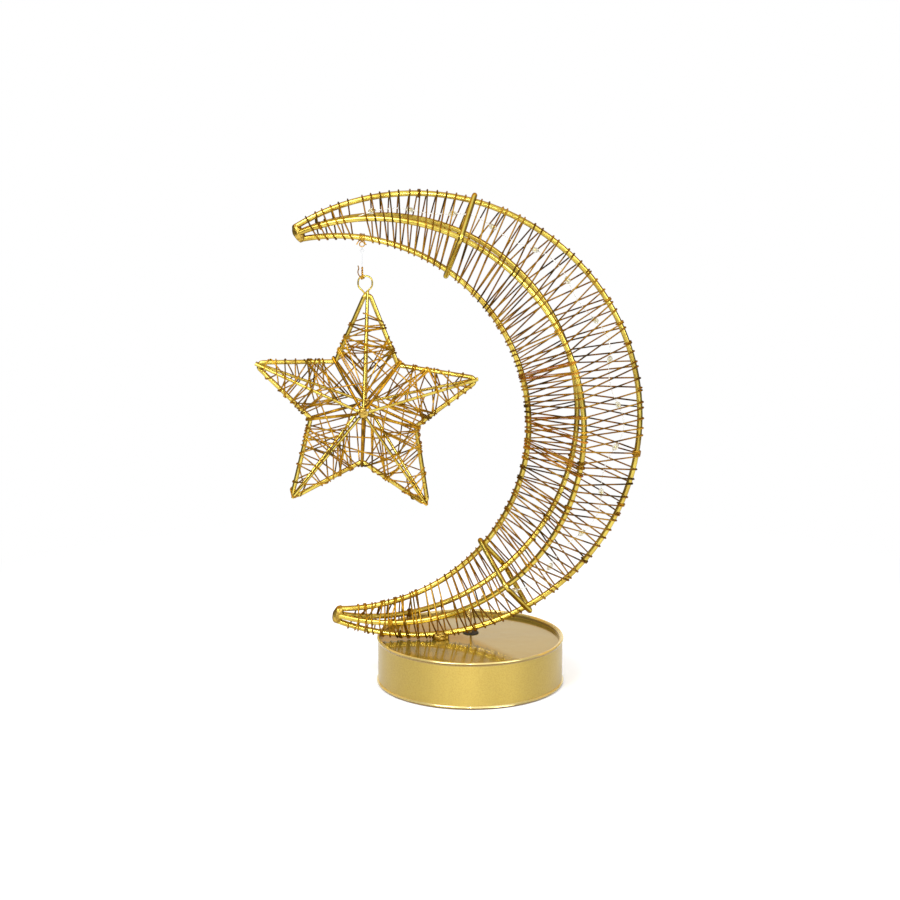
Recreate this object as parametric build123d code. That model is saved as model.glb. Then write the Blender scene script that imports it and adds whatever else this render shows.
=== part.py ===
from build123d import *

import math
import os

import numpy as np

# Eid crescent ornament: a wire-wound crescent on a round tin base, with a hanging wire star.
# Millimetres, +Z up, front towards -Y, origin at the centre of the base's underside.

# Base tin, which grows with the battery box that it holds
rim_room = 4.5
sheet = 0.6
bead_r = 0.8
bead_rise = 2.6
bead_proud = 0.6
hem_r = 1.0
hem_proud = 0.8
hem_cut = 0.1

# Bottom lid, which rests on the inner roll of the hem
lid_z = 1.8
lid_clear = 0.3
lid_flange_h = 6.2

# Cable hole and rubber grommet in the top of the base
hole_x = 0.4
hole_y = 12.3
hole_r = 3.1
grommet_flange_r = 4.4
grommet_flange_t = 1.0
grommet_top_t = 0.45
grommet_clear = 0.1

# Cells and battery box
cell_d = 14.5
cell_body_l = 49.2
cell_button_d = 5.5
cell_button_l = 1.3
cell_edge = 0.5
cell_gap = 0.7
cell_count = 3
cell_clear = 0.3
box_wall = 1.5
box_ceiling = 1.0
box_z = 0.8
box_flange_w = 4.0
box_flange_t = 1.5
spring_room = 5.8
contact_t = 0.4
contact_w = 11.0
contact_h = 12.0
contact_clear = 0.1
spring_wire_d = 0.7
spring_wide_r = 4.0
spring_narrow_r = 2.6
spring_turns = 3
spring_rounding = 0.85
window_clear = 0.2

# Battery door
door_t = 1.5
door_clear = 0.3
door_barrel_r = 1.0
door_pin_r = 0.8
door_pin_clear = 0.06
door_notch_w = 14.0
door_notch_d = 3.0

# Box screws
screw_d = 1.9
screw_l = 6.5
screw_head_d = 4.0
screw_head_h = 0.9
screw_clear = 0.1
screw_head_round = 0.36
boss_d = 4.6
boss_cap = 0.6
screw_from_side = 8.0

# Slide switch
switch_l = 11.6
switch_w = 5.8
switch_h = 5.0
switch_ear_l = 4.0
switch_ear_t = 1.0
switch_ear_hole_d = 1.6
switch_wall = 1.1
slider_l = 5.0
slider_h = 1.6
slider_clear = 0.2
switch_travel = 4.0
knob_l = 2.0
knob_w = 2.0
knob_proud = 1.0
switch_screw_head_d = 3.0

# Supply lead
lead_d = 1.2
lead_out = 8.3
lead_side_bend_r = 3.7
lead_bend_r = 1.5
lead_gap = 0.3
lead_rise = 12.0

# Crescent rods. Spoke angles are measured at one centre, counter-clockwise from +X, seen from the front
rail_d = 3.0
rail_lift = 1.15
outer_r = 119.9
outer_x = -29.6
inner_r = 101.4
inner_x = -70.3
inner_drop = 3.7
spoke_x = -40.6
spoke_drop = 0.3
spine_depth = 29.0
spine_share = 0.465636
spine_gap = 0.3
upper_tip_gap = 7.134524
lower_tip_gap = 6.953745
nose_l = 3.4
nose_cover = 0.35
rod_over_deg = 1.0

# Brace hoops
brace_d = 2.8
brace_clear = 0.1
upper_brace_deg = 70.4
lower_brace_deg = -55.4

# Weld on the base
weld_x = -14.6
weld_l = 10.0
weld_w = 5.4
weld_h = 4.4

# Fine wire winding of the crescent
wire_d = 0.7
wire_sides = 6
wire_clear = 0.25
wire_tail = 1.4
wire_uneven_deg = 0.4
wire_pitch_deg = 2.3
tip_bare_deg = 3.6
brace_bare_deg = 2.0
knot_bare_deg = 1.9
weld_bare_deg = 4.1
middle_windings = 4

# Plain walls that stand for a winding, by its number
plain_windings = (4, 6)
wall_t = 0.3
wall_steps = 10

# Light wire and its drops
light_d = 0.8
light_gap = 0.1
drop_d = 3.0
drop_l = 4.6
drop_clear = 0.12
light_entry = (3.4, -0.8, 7.0)

# Hanger
knot_from_tip_deg = 16.9
tie_wire_d = 0.6
tie_turns = 2
tie_pitch = 1.05
tie_clear = 0.2
eye_r = 1.3
nylon_d = 0.4
nylon_eye_r = 1.1
nylon_loop_r = 0.9
link_play = 0.1
line_l = 7.4
twist_gap = 0.15
hang_l = 5.4

# Star, which hangs from the line by its ring
star_right = 0.5
star_turn_deg = 3.5
star_tip_r = 63.7
star_corner_r = 29.2
star_depth = 17.0
star_arms = 5
outline_d = 2.4
tip_bend_r = 2.2
corner_bend_r = 3.0
ridge_d = 1.6
ridge_nub = 2.2
ridge_clear = 0.15
apex_bare_r = 2.9
apex_weld_r = 2.7
apex_weld_h = 1.8
ring_r = 3.4
ring_wire_d = 1.0
ring_right = 1.5
neck_l = 1.5
neck_d = 1.1
neck_gap = 0.3
star_wire_d = 0.6
star_wire_clear = 0.4
star_wire_loops = 8
star_wire_first = 0.17
star_wire_last = 0.86
star_wire_uneven = 0.016

# Handmade unevenness of the star, one entry for each arm, clockwise from the top
arm_angle_off = [-1.5, 0.2, 0.4, -0.9, 1.0]
corner_angle_off = [-1.3, -1.2, -0.7, 3.3, 1.4]

# Sizes that follow from the ones above
cell_l = cell_body_l + cell_button_l
cell_pitch = cell_d + cell_gap
box_in_l = cell_l + spring_room + 2 * (contact_t + contact_clear) + contact_clear
box_in_w = cell_d + (cell_count - 1) * cell_pitch + 2 * cell_clear
box_out_l = box_in_l + 2 * box_wall
box_out_w = box_in_w + 2 * box_wall
door_top = box_z + door_t
cell_z = box_z + 2 * door_barrel_r + cell_clear + cell_d / 2
box_in_top = cell_z + cell_d / 2 + cell_clear
box_top = box_in_top + box_ceiling
flange_l = box_out_l + 2 * box_flange_w
flange_w = box_out_w + 2 * box_flange_w
hinge_x = -box_in_l / 2 + door_clear + door_barrel_r
hinge_z = box_z + door_barrel_r

lid_top = lid_z + sheet
boss_top = lid_z + screw_l + boss_cap
lid_bore_r = math.hypot(flange_l, flange_w) / 2 + rim_room
lid_r = lid_bore_r + sheet
shell_bore_r = lid_r + lid_clear
shell_r = shell_bore_r + sheet
base_d = 2 * (shell_r + hem_proud)
switch_y = -(flange_w / 2 + lid_bore_r) / 2
lead_z = box_top + lead_gap + lead_d / 2
grommet_z = lead_z + lead_bend_r
top_z = grommet_z + grommet_flange_t + sheet
base_h = top_z + bead_rise

rail_r = rail_d / 2
wire_r = wire_d / 2
outer_z = top_z + rail_lift + rail_r + outer_r
inner_z = outer_z - inner_drop
spoke_z = outer_z - spoke_drop
spine_tip_y = rail_r + spine_gap / 2
wrap_r = rail_r + wire_clear + wire_r

# Phase step that spreads handmade unevenness over the turns without repeating
uneven_step = 2.4

# Corners of one turn of a round coil, and the share of the coil's radius that rounds them
coil_corners = 8
coil_rounding = 0.95

# Spacing of the points on which a winding's gap to itself is measured
gap_step = 0.6


def vec(x, y, z):
    """A point or direction as an array."""
    return np.array([x, y, z], dtype=float)


def unit(v):
    """The direction of a vector."""
    return v / np.linalg.norm(v)


def spoke(deg):
    """Direction of a spoke in the crescent's plane."""
    return vec(math.cos(math.radians(deg)), 0, math.sin(math.radians(deg)))


# Centre lines of the crescent's four rods, by spoke angle

def circle_reach(start, way, centre_x, centre_z, radius):
    """Distance from a point to a rim circle, along a direction in the crescent's plane."""
    offset = start - vec(centre_x, 0, centre_z)
    along = offset @ way
    return -along + math.sqrt(along**2 - offset @ offset + radius**2)


def rim_point(deg, centre_x, centre_z, radius):
    """Point of a rim circle on a spoke."""
    hub = vec(spoke_x, 0, spoke_z)
    return hub + circle_reach(hub, spoke(deg), centre_x, centre_z, radius) * spoke(deg)


def outer_point(deg):
    """Point of the outer rim on a spoke."""
    return rim_point(deg, outer_x, outer_z, outer_r)


def inner_point(deg):
    """Point of the inner rim on a spoke."""
    return rim_point(deg, inner_x, inner_z, inner_r)


def nose_point(deg):
    """Middle between the two rims on a spoke."""
    return (outer_point(deg) + inner_point(deg)) / 2


def horn_deg(way, gap):
    """Spoke angle at which the rims come as near as a gap; way is 1 up and -1 down."""
    near, far = 0.0, 180.0
    for _ in range(60):
        deg = (near + far) / 2
        if (outer_point(way * deg) - inner_point(way * deg)) @ spoke(way * deg) > gap:
            near = deg
        else:
            far = deg
    return way * near


upper_tip_deg = horn_deg(1, upper_tip_gap)
lower_tip_deg = horn_deg(-1, lower_tip_gap)
knot_deg = upper_tip_deg - knot_from_tip_deg


def spine_frame(side):
    """Centre, two axes and radius of a spine's arc; side is -1 in front and 1 behind."""
    shift = vec(0, side * spine_tip_y, 0)
    start = nose_point(upper_tip_deg) + shift
    end = nose_point(lower_tip_deg) + shift
    chord = unit(end - start)
    across = unit(np.cross(chord, vec(0, 1, 0)))
    across = across if across[0] > 0 else -across
    middle = (nose_point(upper_tip_deg) + nose_point(lower_tip_deg)) / 2
    inner_reach = circle_reach(middle, across, inner_x, inner_z, inner_r)
    outer_reach = circle_reach(middle, across, outer_x, outer_z, outer_r)
    bulge = inner_reach + spine_share * (outer_reach - inner_reach)
    rise = across * bulge + vec(0, side * (spine_depth - spine_tip_y), 0)
    half = np.linalg.norm(end - start) / 2
    height = np.linalg.norm(rise)
    radius = (half**2 + height**2) / (2 * height)
    centre = (start + end) / 2 + unit(rise) * (height - radius)
    return centre, unit(rise), chord, radius


def spine_point(deg, side):
    """Point of a spine in the upright plane of a spoke."""
    centre, out, chord, radius = spine_frame(side)
    normal = vec(-spoke(deg)[2], 0, spoke(deg)[0])
    a = radius * (out @ normal)
    b = radius * (chord @ normal)
    c = (centre - vec(spoke_x, 0, spoke_z)) @ normal
    swing = math.acos(max(-1.0, min(1.0, -c / math.hypot(a, b))))
    angles = [math.atan2(b, a) + swing, math.atan2(b, a) - swing]
    points = [centre + radius * (math.cos(t) * out + math.sin(t) * chord) for t in angles]
    return max(points, key=lambda p: (p - vec(spoke_x, 0, spoke_z)) @ spoke(deg))


def rod_point(index, deg):
    """Point of a rod on a spoke, in winding order: outer rim, front spine, inner rim, back spine."""
    index = index % 4
    if index == 0:
        return outer_point(deg)
    if index == 2:
        return inner_point(deg)
    return spine_point(deg, -1 if index == 1 else 1)


# Paths of straight runs joined by tangent arcs, and round tubes along them

def rounded_edges(points, radii, closed=False):
    """Edges of a polyline whose corners are tangent arcs, with one radius for each corner."""
    count = len(points)
    corners = range(count) if closed else range(1, count - 1)
    edges = []
    starts = {}
    ends = {}
    for i in corners:
        inward = unit(points[i] - points[i - 1])
        outward = unit(points[(i + 1) % count] - points[i])
        half = math.acos(max(-1.0, min(1.0, inward @ outward))) / 2
        reach = radii[i] * math.tan(half)
        starts[i] = points[i] - inward * reach
        ends[i] = points[i] + outward * reach
        bisector = unit(outward - inward)
        middle = points[i] + bisector * radii[i] * (1 / math.cos(half) - 1)
        arc = Edge.make_three_point_arc(tuple(starts[i]), tuple(middle), tuple(ends[i]))
        edges.append((i, arc))
    path = []
    if closed:
        for i, arc in edges:
            path.append(arc)
            path.append(Edge.make_line(tuple(ends[i]), tuple(starts[(i + 1) % count])))
        return path
    last = points[0]
    for i, arc in edges:
        path.append(Edge.make_line(tuple(last), tuple(starts[i])))
        path.append(arc)
        last = ends[i]
    path.append(Edge.make_line(tuple(last), tuple(points[-1])))
    return path


def wrapped(centres, radii, closed=False):
    """Corner points of a taut wire that passes round each centre at its radius."""
    points = [c.copy() for c in centres]
    count = len(points)
    for _ in range(8):
        moved = [p.copy() for p in points]
        for i in range(count) if closed else range(1, count - 1):
            inward = unit(points[i] - points[i - 1])
            outward = unit(points[(i + 1) % count] - points[i])
            half = math.acos(max(-1.0, min(1.0, inward @ outward))) / 2
            moved[i] = centres[i] + unit(inward - outward) * radii[i] / math.cos(half)
        points = moved
    return points


def tube(edges, diameter):
    """Round tube along a path."""
    return swept(edges, Circle(diameter / 2))


def swept(edges, section):
    """Solid of a flat section carried along a path."""
    path = Wire(edges)
    start = Plane(origin=path.position_at(0), z_dir=path.tangent_at(0))
    return sweep(sections=start * section, path=path).solid()


def straight_rod(start, end, diameter):
    """Straight round rod between two points."""
    length = float(np.linalg.norm(end - start))
    place = Plane(origin=tuple(start), z_dir=tuple(unit(end - start)))
    rod = Cylinder(diameter / 2, length, align=(Align.CENTER, Align.CENTER, Align.MIN))
    return place * rod


def least_gap(edges, diameter, skip):
    """Least clear gap of a tube to itself, measured on points further apart than skip along it."""
    points = []
    lengths = []
    travelled = 0.0
    for edge in edges:
        steps = max(2, int(edge.length / gap_step))
        for i in range(steps):
            place = edge.position_at(i / steps)
            points.append((place.X, place.Y, place.Z))
            lengths.append(travelled + edge.length * i / steps)
        travelled += edge.length
    points = np.array(points)
    lengths = np.array(lengths)
    least = math.inf
    for i in range(len(points)):
        far = np.abs(lengths - lengths[i]) > skip
        if far.any():
            least = min(least, float(np.linalg.norm(points[far] - points[i], axis=1).min()))
    return least - diameter


def wound_tube(name, centres, radii, diameter, tail):
    """Tube of a winding round the centres; its first and last centre only give the tails' direction."""
    points = wrapped(centres, radii)
    for end, beside, after in ((0, 1, 2), (-1, -2, -3)):
        away = unit(points[end] - points[beside])
        half = math.acos(max(-1.0, min(1.0, -away @ unit(points[after] - points[beside])))) / 2
        reach = radii[beside] * math.tan(half)
        points[end] = points[beside] + away * (reach + tail)
    edges = rounded_edges(points, radii)
    section = RegularPolygon(diameter / 2, wire_sides)
    solid = swept(edges, section)
    length = sum(edge.length for edge in edges)
    share = solid.volume / (section.area * length)
    gap = least_gap(edges, diameter, 4 * max(radii))
    print(f"{name}: {length:.0f} mm of wire, volume share {share:.4f}, least gap to itself {gap:.2f} mm")
    return solid


# Base

def disc(radius, bottom, top, x=0.0, y=0.0):
    """Upright cylinder between two heights."""
    aligned = (Align.CENTER, Align.CENTER, Align.MIN)
    return Pos(x, y, bottom) * Cylinder(radius, top - bottom, align=aligned)


def block(x_size, y_size, bottom, top, x=0.0, y=0.0):
    """Box between two heights, centred on x and y."""
    aligned = (Align.CENTER, Align.CENTER, Align.MIN)
    return Pos(x, y, bottom) * Box(x_size, y_size, top - bottom, align=aligned)


def base_shell():
    """Drawn tin cup with a rolled bead at the top edge and a rolled hem at the bottom."""
    bead_z = base_h - bead_r
    hem_z = hem_r - hem_cut
    cup = disc(shell_r, hem_z, bead_z)
    cup -= disc(shell_bore_r, 0, top_z - sheet)
    cup -= disc(shell_r - 2 * bead_r, top_z, base_h)
    cup += Pos(0, 0, bead_z) * Torus(shell_r + bead_proud - bead_r, bead_r)
    cup += Pos(0, 0, hem_z) * Torus(base_d / 2 - hem_r, hem_r)
    cup -= disc(base_d, -base_h, 0)
    return cup - disc(hole_r, 0, base_h, hole_x, hole_y)


def screw_places():
    """Centres of the box screws, in the flange of the battery box."""
    x = box_out_l / 2 + box_flange_w / 2
    y = box_out_w / 2 - screw_from_side
    return [(sx * x, sy * y) for sx in (-1, 1) for sy in (-1, 1)]


def switch_screw_places():
    """Centres of the switch screws, in the ears of the switch body."""
    x = switch_l / 2 + switch_ear_l / 2
    return [(-x, switch_y), (x, switch_y)]


def base_lid():
    """Pressed bottom lid with an upturned flange, the box window, the switch slot and screw holes."""
    lid = disc(lid_r, lid_z, lid_top + lid_flange_h)
    lid -= disc(lid_bore_r, lid_top, base_h)
    lid -= block(box_out_l + 2 * window_clear, box_out_w + 2 * window_clear, 0, base_h)
    slot_l = knob_l + switch_travel + 2 * slider_clear
    lid -= block(slot_l, knob_w + 2 * slider_clear, 0, base_h, 0, switch_y)
    for x, y in screw_places():
        lid -= disc(screw_d / 2 + screw_clear, 0, base_h, x, y)
    for x, y in switch_screw_places():
        lid -= disc(switch_ear_hole_d / 2, 0, base_h, x, y)
    return lid


def base_grommet():
    """Rubber grommet seated in the cable hole."""
    neck_r = hole_r - grommet_clear
    bore_r = lead_d / 2 + lead_gap
    seat = top_z - sheet
    body = disc(neck_r, seat, top_z, hole_x, hole_y)
    body += disc(grommet_flange_r, top_z, top_z + grommet_top_t, hole_x, hole_y)
    body += disc(grommet_flange_r, grommet_z, seat, hole_x, hole_y)
    body = fillet(body.edges().filter_by(GeomType.CIRCLE).sort_by(Axis.Z)[0], grommet_flange_t / 2)
    body = fillet(body.edges().filter_by(GeomType.CIRCLE).sort_by(Axis.Z)[-1], grommet_top_t / 2)
    return body - disc(bore_r, 0, base_h, hole_x, hole_y)


def battery_box():
    """Moulded tray, open below, with a flange on the lid, screw bosses and door pin holes."""
    box = block(box_out_l, box_out_w, box_z, box_top)
    box += block(flange_l, flange_w, lid_top, lid_top + box_flange_t)
    for x, y in screw_places():
        box += disc(boss_d / 2, lid_top, boss_top, x, y)
        box -= disc(screw_d / 2 + screw_clear, 0, boss_top, x, y)
    box -= block(box_in_l, box_in_w, 0, box_in_top)
    pin_hole = Cylinder(door_pin_r + door_pin_clear, 2 * box_out_w)
    box -= Pos(hinge_x, 0, hinge_z) * Rot(X=90) * pin_hole
    notch_x = box_out_l / 2 - box_wall / 2
    box -= block(2 * box_wall, door_notch_w, 0, door_top, notch_x, 0)
    exit_hole = Cylinder(lead_d / 2 + contact_clear, 2 * box_wall)
    return box - Pos(hole_x, box_out_w / 2 - box_wall, cell_z) * Rot(X=90) * exit_hole


def battery_door():
    """Door that closes the box from below, with a hinge barrel, two pins and a finger notch."""
    width = box_in_w - 2 * door_clear
    end_x = box_in_l / 2 - door_clear
    door = block(end_x - hinge_x, width, box_z, door_top, (end_x + hinge_x) / 2, 0)
    barrel = Cylinder(door_barrel_r, width)
    pins = Cylinder(door_pin_r, box_out_w - box_wall)
    door += Pos(hinge_x, 0, hinge_z) * Rot(X=90) * barrel
    door += Pos(hinge_x, 0, hinge_z) * Rot(X=90) * pins
    scoop = Cylinder(door_notch_w / 4, 2 * door_t)
    return door - Pos(end_x - door_notch_d, 0, box_z) * scoop


def cell_place(index):
    """Y position of a cell, and the direction in which its button points."""
    y = (index - (cell_count - 1) / 2) * cell_pitch
    return y, 1 if index % 2 == 0 else -1


def contact_face():
    """Distance of a contact plate's inner face from the middle of the box."""
    return box_in_l / 2 - contact_clear - contact_t


def cell(index):
    """AA cell with its button."""
    y, way = cell_place(index)
    tip = contact_face() - contact_clear
    body = Cylinder(cell_d / 2, cell_body_l, align=(Align.CENTER, Align.CENTER, Align.MAX))
    body = chamfer(body.edges(), cell_edge)
    button = Cylinder(cell_button_d / 2, cell_button_l, align=(Align.CENTER, Align.CENTER, Align.MIN))
    place = Plane(origin=(way * (tip - cell_button_l), y, cell_z), z_dir=(way, 0, 0))
    return place * (body + button)


def contact_plates():
    """Spring-steel plates at both ends of each cell."""
    plates = []
    for index in range(cell_count):
        y, _ = cell_place(index)
        for side in (-1, 1):
            x = side * (contact_face() + contact_t / 2)
            plates.append(Pos(x, y, cell_z) * Box(contact_t, contact_w, contact_h))
    return plates


def contact_springs():
    """Conical coil spring between each cell's flat end and its plate."""
    springs = []
    count = spring_turns * coil_corners
    for index in range(cell_count):
        y, way = cell_place(index)
        start = -way * (contact_face() - contact_clear - spring_wire_d / 2)
        length = spring_room - 2 * contact_clear - spring_wire_d
        points = []
        radii = []
        for i in range(count + 1):
            share = i / count
            r = spring_wide_r + (spring_narrow_r - spring_wide_r) * share
            turn = 2 * math.pi * i / coil_corners
            x = start + way * length * share
            points.append(vec(x, y + r * math.cos(turn), cell_z + r * math.sin(turn)))
            radii.append(r * spring_rounding)
        springs.append(tube(rounded_edges(points, radii), spring_wire_d))
    return springs


def box_screws():
    """Four pan-head screws that hold the box to the lid."""
    return [pan_screw(x, y, screw_d, screw_l, screw_head_d) for x, y in screw_places()]


def switch_screws():
    """Two small screws that hold the switch to the lid."""
    length = sheet + switch_ear_t
    d = switch_ear_hole_d - 2 * screw_clear
    return [pan_screw(x, y, d, length, switch_screw_head_d) for x, y in switch_screw_places()]


def pan_screw(x, y, diameter, length, head_d):
    """Screw with its head under the lid and a cross recess."""
    head = disc(head_d / 2, lid_z - screw_head_h, lid_z, x, y)
    low = [e for e in head.edges() if e.center().Z < lid_z - screw_head_h / 2]
    head = fillet(low, screw_head_round)
    recess = screw_head_h / 2
    for sizes in ((head_d / 2, head_d / 8), (head_d / 8, head_d / 2)):
        head -= block(*sizes, lid_z - screw_head_h, lid_z - screw_head_h + recess, x, y)
    return head + disc(diameter / 2, lid_z, lid_z + length, x, y)


def slider_size():
    """Width of the slider's foot inside the switch body."""
    return switch_w - 2 * switch_wall - 2 * slider_clear


def switch_housing():
    """Body of the slide switch on the lid, with two ears."""
    cavity_l = slider_l + switch_travel + 2 * slider_clear
    body = block(switch_l, switch_w, lid_top, lid_top + switch_h, 0, switch_y)
    ears_l = switch_l + 2 * switch_ear_l
    body += block(ears_l, switch_w, lid_top, lid_top + switch_ear_t, 0, switch_y)
    cavity_w = slider_size() + 2 * slider_clear
    cavity_top = lid_top + slider_h + 2 * slider_clear
    body -= block(cavity_l, cavity_w, 0, cavity_top, 0, switch_y)
    for x, y in switch_screw_places():
        body -= disc(switch_ear_hole_d / 2, 0, base_h, x, y)
    return body


def switch_slider():
    """Foot and knob of the slide switch, in its off position."""
    x = -switch_travel / 2
    low = lid_top + slider_clear
    foot = block(slider_l, slider_size(), low, low + slider_h, x, switch_y)
    return foot + block(knob_l, knob_w, lid_z - knob_proud, low, x, switch_y)


def lead_points():
    """Route of the supply lead: out of the box, up, over it and through the grommet."""
    out_y = box_out_w / 2 + lead_out
    return [
        vec(hole_x, box_out_w / 2 - box_wall / 2, cell_z),
        vec(hole_x, out_y, cell_z),
        vec(hole_x, out_y, lead_z),
        vec(hole_x, hole_y, lead_z),
        vec(hole_x, hole_y, top_z + lead_rise),
    ]


def supply_lead():
    """Lead from the battery box to the light wire, straight through the grommet's bore."""
    radii = [0, lead_side_bend_r, lead_side_bend_r, lead_bend_r, 0]
    print("supply_lead radii:", radii[1:-1])
    return tube(rounded_edges(lead_points(), radii), lead_d)


# Crescent frame

def nose_plane(deg, way):
    """Plane across the horn at its nose; x runs towards the outer rim and z away from the horn."""
    across = unit(outer_point(deg) - inner_point(deg))
    away = unit(np.cross(vec(0, 1, 0), across))
    side = vec(-spoke(deg)[2], 0, spoke(deg)[0]) * way
    away = away if away @ side > 0 else -away
    return Plane(origin=tuple(nose_point(deg)), x_dir=tuple(across), z_dir=tuple(away))


def rail(index):
    """One of the four long rods, cut flat at both noses."""
    if index in (0, 2):
        first = upper_tip_deg + rod_over_deg
        last = lower_tip_deg - rod_over_deg
        points = [rod_point(index, deg) for deg in (first, (first + last) / 2, last)]
    else:
        side = -1 if index == 1 else 1
        centre, out, _, radius = spine_frame(side)
        shift = vec(0, side * spine_tip_y, 0)
        points = [nose_point(upper_tip_deg) + shift, centre + out * radius, nose_point(lower_tip_deg) + shift]
    rod = tube([Edge.make_three_point_arc(*[tuple(p) for p in points])], rail_d)
    for deg, way in ((upper_tip_deg, 1), (lower_tip_deg, -1)):
        size = np.linalg.norm(outer_point(deg) - inner_point(deg)) + 4 * rail_d
        cut = Box(size, size, size, align=(Align.CENTER, Align.CENTER, Align.MIN))
        rod -= nose_plane(deg, way) * cut
    return rod


def tip_weld(deg, way):
    """Rounded weld that closes the four rod ends at a nose."""
    half = np.linalg.norm(outer_point(deg) - inner_point(deg)) / 2
    sizes = (half + rail_r + nose_cover, spine_tip_y + rail_r + nose_cover, nose_l)
    dome = scale(Sphere(1), by=sizes)
    big = 4 * max(sizes)
    dome -= Box(big, big, big, align=(Align.CENTER, Align.CENTER, Align.MAX))
    return nose_plane(deg, way) * dome


def brace(deg):
    """Rod hoop bent round the outside of the four rods."""
    radius = rail_r + brace_clear + brace_d / 2
    centres = [rod_point(i, deg) for i in range(4)]
    radii = [radius] * 4
    return tube(rounded_edges(wrapped(centres, radii, True), radii, True), brace_d)


def foot_weld(outer_rail):
    """Weld between the outer rim and the top of the base."""
    lump = scale(Sphere(1), by=(weld_l / 2, weld_w / 2, weld_h / 2))
    lump = Pos(weld_x, 0, top_z + rail_lift / 2) * lump
    lump -= disc(base_d, -base_h, top_z)
    return (lump - outer_rail).solids().sort_by(SortBy.VOLUME)[-1]


# Fine wire winding

def winding_spans():
    """First and last spoke angle of each winding, from the upper nose to the lower one."""
    weld_deg = math.degrees(math.atan2(top_z - spoke_z, weld_x - spoke_x))
    upper_free = upper_brace_deg - brace_bare_deg
    lower_free = lower_brace_deg + brace_bare_deg
    spans = [
        (upper_tip_deg - tip_bare_deg, knot_deg + knot_bare_deg),
        (knot_deg - knot_bare_deg, upper_brace_deg + brace_bare_deg),
    ]
    step = (lower_free - upper_free) / middle_windings
    for i in range(middle_windings):
        inset = wire_pitch_deg / 4
        spans.append((upper_free + i * step - inset * (i > 0), upper_free + (i + 1) * step))
    spans.append((lower_brace_deg - brace_bare_deg, weld_deg + weld_bare_deg))
    spans.append((weld_deg - weld_bare_deg, lower_tip_deg + tip_bare_deg))
    return spans


def winding(number, first_deg, last_deg):
    """One length of wire wound round the four rods, a corner of each turn on each rod."""
    loops = max(2, round((first_deg - last_deg) / wire_pitch_deg))
    corners = 4 * loops
    centres = []
    for i in range(-1, corners + 2):
        share = i / corners
        deg = first_deg + (last_deg - first_deg) * share
        inside = 0 < i < corners
        deg += inside * wire_uneven_deg * math.sin(uneven_step * (i // 4) + i % 4)
        centres.append(rod_point(i, deg))
    radii = [wrap_r] * len(centres)
    return wound_tube(f"winding_{number} of {loops} loops", centres, radii, wire_d, wire_tail)


def wall_section(index, deg):
    """Thin outline across one wall, from a rod to the next, standing off them as the wire does."""
    start = rod_point(index, deg)
    end = rod_point(index + 1, deg)
    middle = sum(rod_point(i, deg) for i in range(4)) / 4
    way = unit(end - start)
    lean = (start + end) / 2 - middle
    out = unit(lean - way * (lean @ way))
    near = out * (rail_r + wire_clear)
    far = near + out * wall_t
    corners = (start + near, end + near, end + far, start + far)
    return Wire.make_polygon([tuple(p) for p in corners], close=True)


def winding_walls(first_deg, last_deg):
    """Four plain walls in the place of a winding, one between each rod and the next."""
    walls = []
    for index in range(4):
        degrees = [first_deg + (last_deg - first_deg) * k / wall_steps for k in range(wall_steps + 1)]
        walls.append(Solid.make_loft([wall_section(index, deg) for deg in degrees], ruled=True))
    return walls


# Light wire inside the crescent

def light_points():
    """Route of the light wire, chosen by hand: spoke angle and share of the way from inner to outer rim."""
    stops = [(-62.0, 0.62), (-50.0, 0.86), (-38.0, 0.72), (-26.0, 0.90), (-13.0, 0.70),
             (-2.0, 0.92), (10.0, 0.72), (21.0, 0.90), (33.0, 0.74), (45.0, 0.90),
             (57.0, 0.72), (69.0, 0.86), (80.0, 0.66), (91.0, 0.80), (101.0, 0.55)]
    lead_end = lead_points()[-1]
    points = [lead_end + vec(0, 0, light_gap), lead_end + vec(*light_entry)]
    for deg, share in stops:
        points.append(inner_point(deg) * (1 - share) + outer_point(deg) * share)
    return points


def light_radii(points):
    """Arc radius at each point: 0.45 of the shorter run over the tangent of half the turn."""
    radii = [0.0]
    for before, here, after in zip(points, points[1:], points[2:]):
        inward = here - before
        outward = after - here
        cosine = unit(inward) @ unit(outward)
        half = math.acos(max(-1.0, min(1.0, cosine))) / 2
        shorter = min(np.linalg.norm(inward), np.linalg.norm(outward))
        radii.append(0.45 * shorter / math.tan(half))
    return radii + [0.0]


def light_string():
    """Fine two-strand light wire as one tube."""
    points = light_points()
    radii = light_radii(points)
    edges = rounded_edges(points, radii)
    length = sum(edge.length for edge in edges)
    print("light_string radii:", [round(float(r), 1) for r in radii[1:-1]], f"length {length:.0f} mm")
    solid = tube(edges, light_d)
    print(f"light_string volume share {solid.volume / (math.pi * light_d**2 / 4 * length):.4f}")
    return solid


def light_drops():
    """Clear drops on the light wire, in the middle of each run."""
    points = light_points()
    drops = []
    for start, end in zip(points[1:], points[2:]):
        body_l = drop_l - drop_d
        bead = Cylinder(drop_d / 2, body_l)
        for way in (-1, 1):
            bead += Pos(0, 0, way * body_l / 2) * Sphere(drop_d / 2)
        bead -= Cylinder(light_d / 2 + drop_clear, 2 * drop_l)
        place = Plane(origin=tuple((start + end) / 2), z_dir=tuple(unit(end - start)))
        drops.append(place * bead)
    return drops


# Hanger

def knot_point():
    """Point of the inner rim that the star hangs from."""
    return inner_point(knot_deg)


def coil_round(centre, axis, radius, diameter, turns, pitch):
    """Open coil of wire about an axis, as one tube."""
    axis = unit(axis)
    first = unit(np.cross(axis, vec(0, 1, 0)))
    second = np.cross(axis, first)
    count = turns * coil_corners
    corner_r = radius / math.cos(math.pi / coil_corners)
    points = []
    for i in range(count + 1):
        turn = 2 * math.pi * i / coil_corners
        along = axis * pitch * (i / coil_corners - turns / 2)
        points.append(centre + along + corner_r * (math.cos(turn) * first + math.sin(turn) * second))
    return tube(rounded_edges(points, [radius * coil_rounding] * len(points)), diameter)


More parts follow.
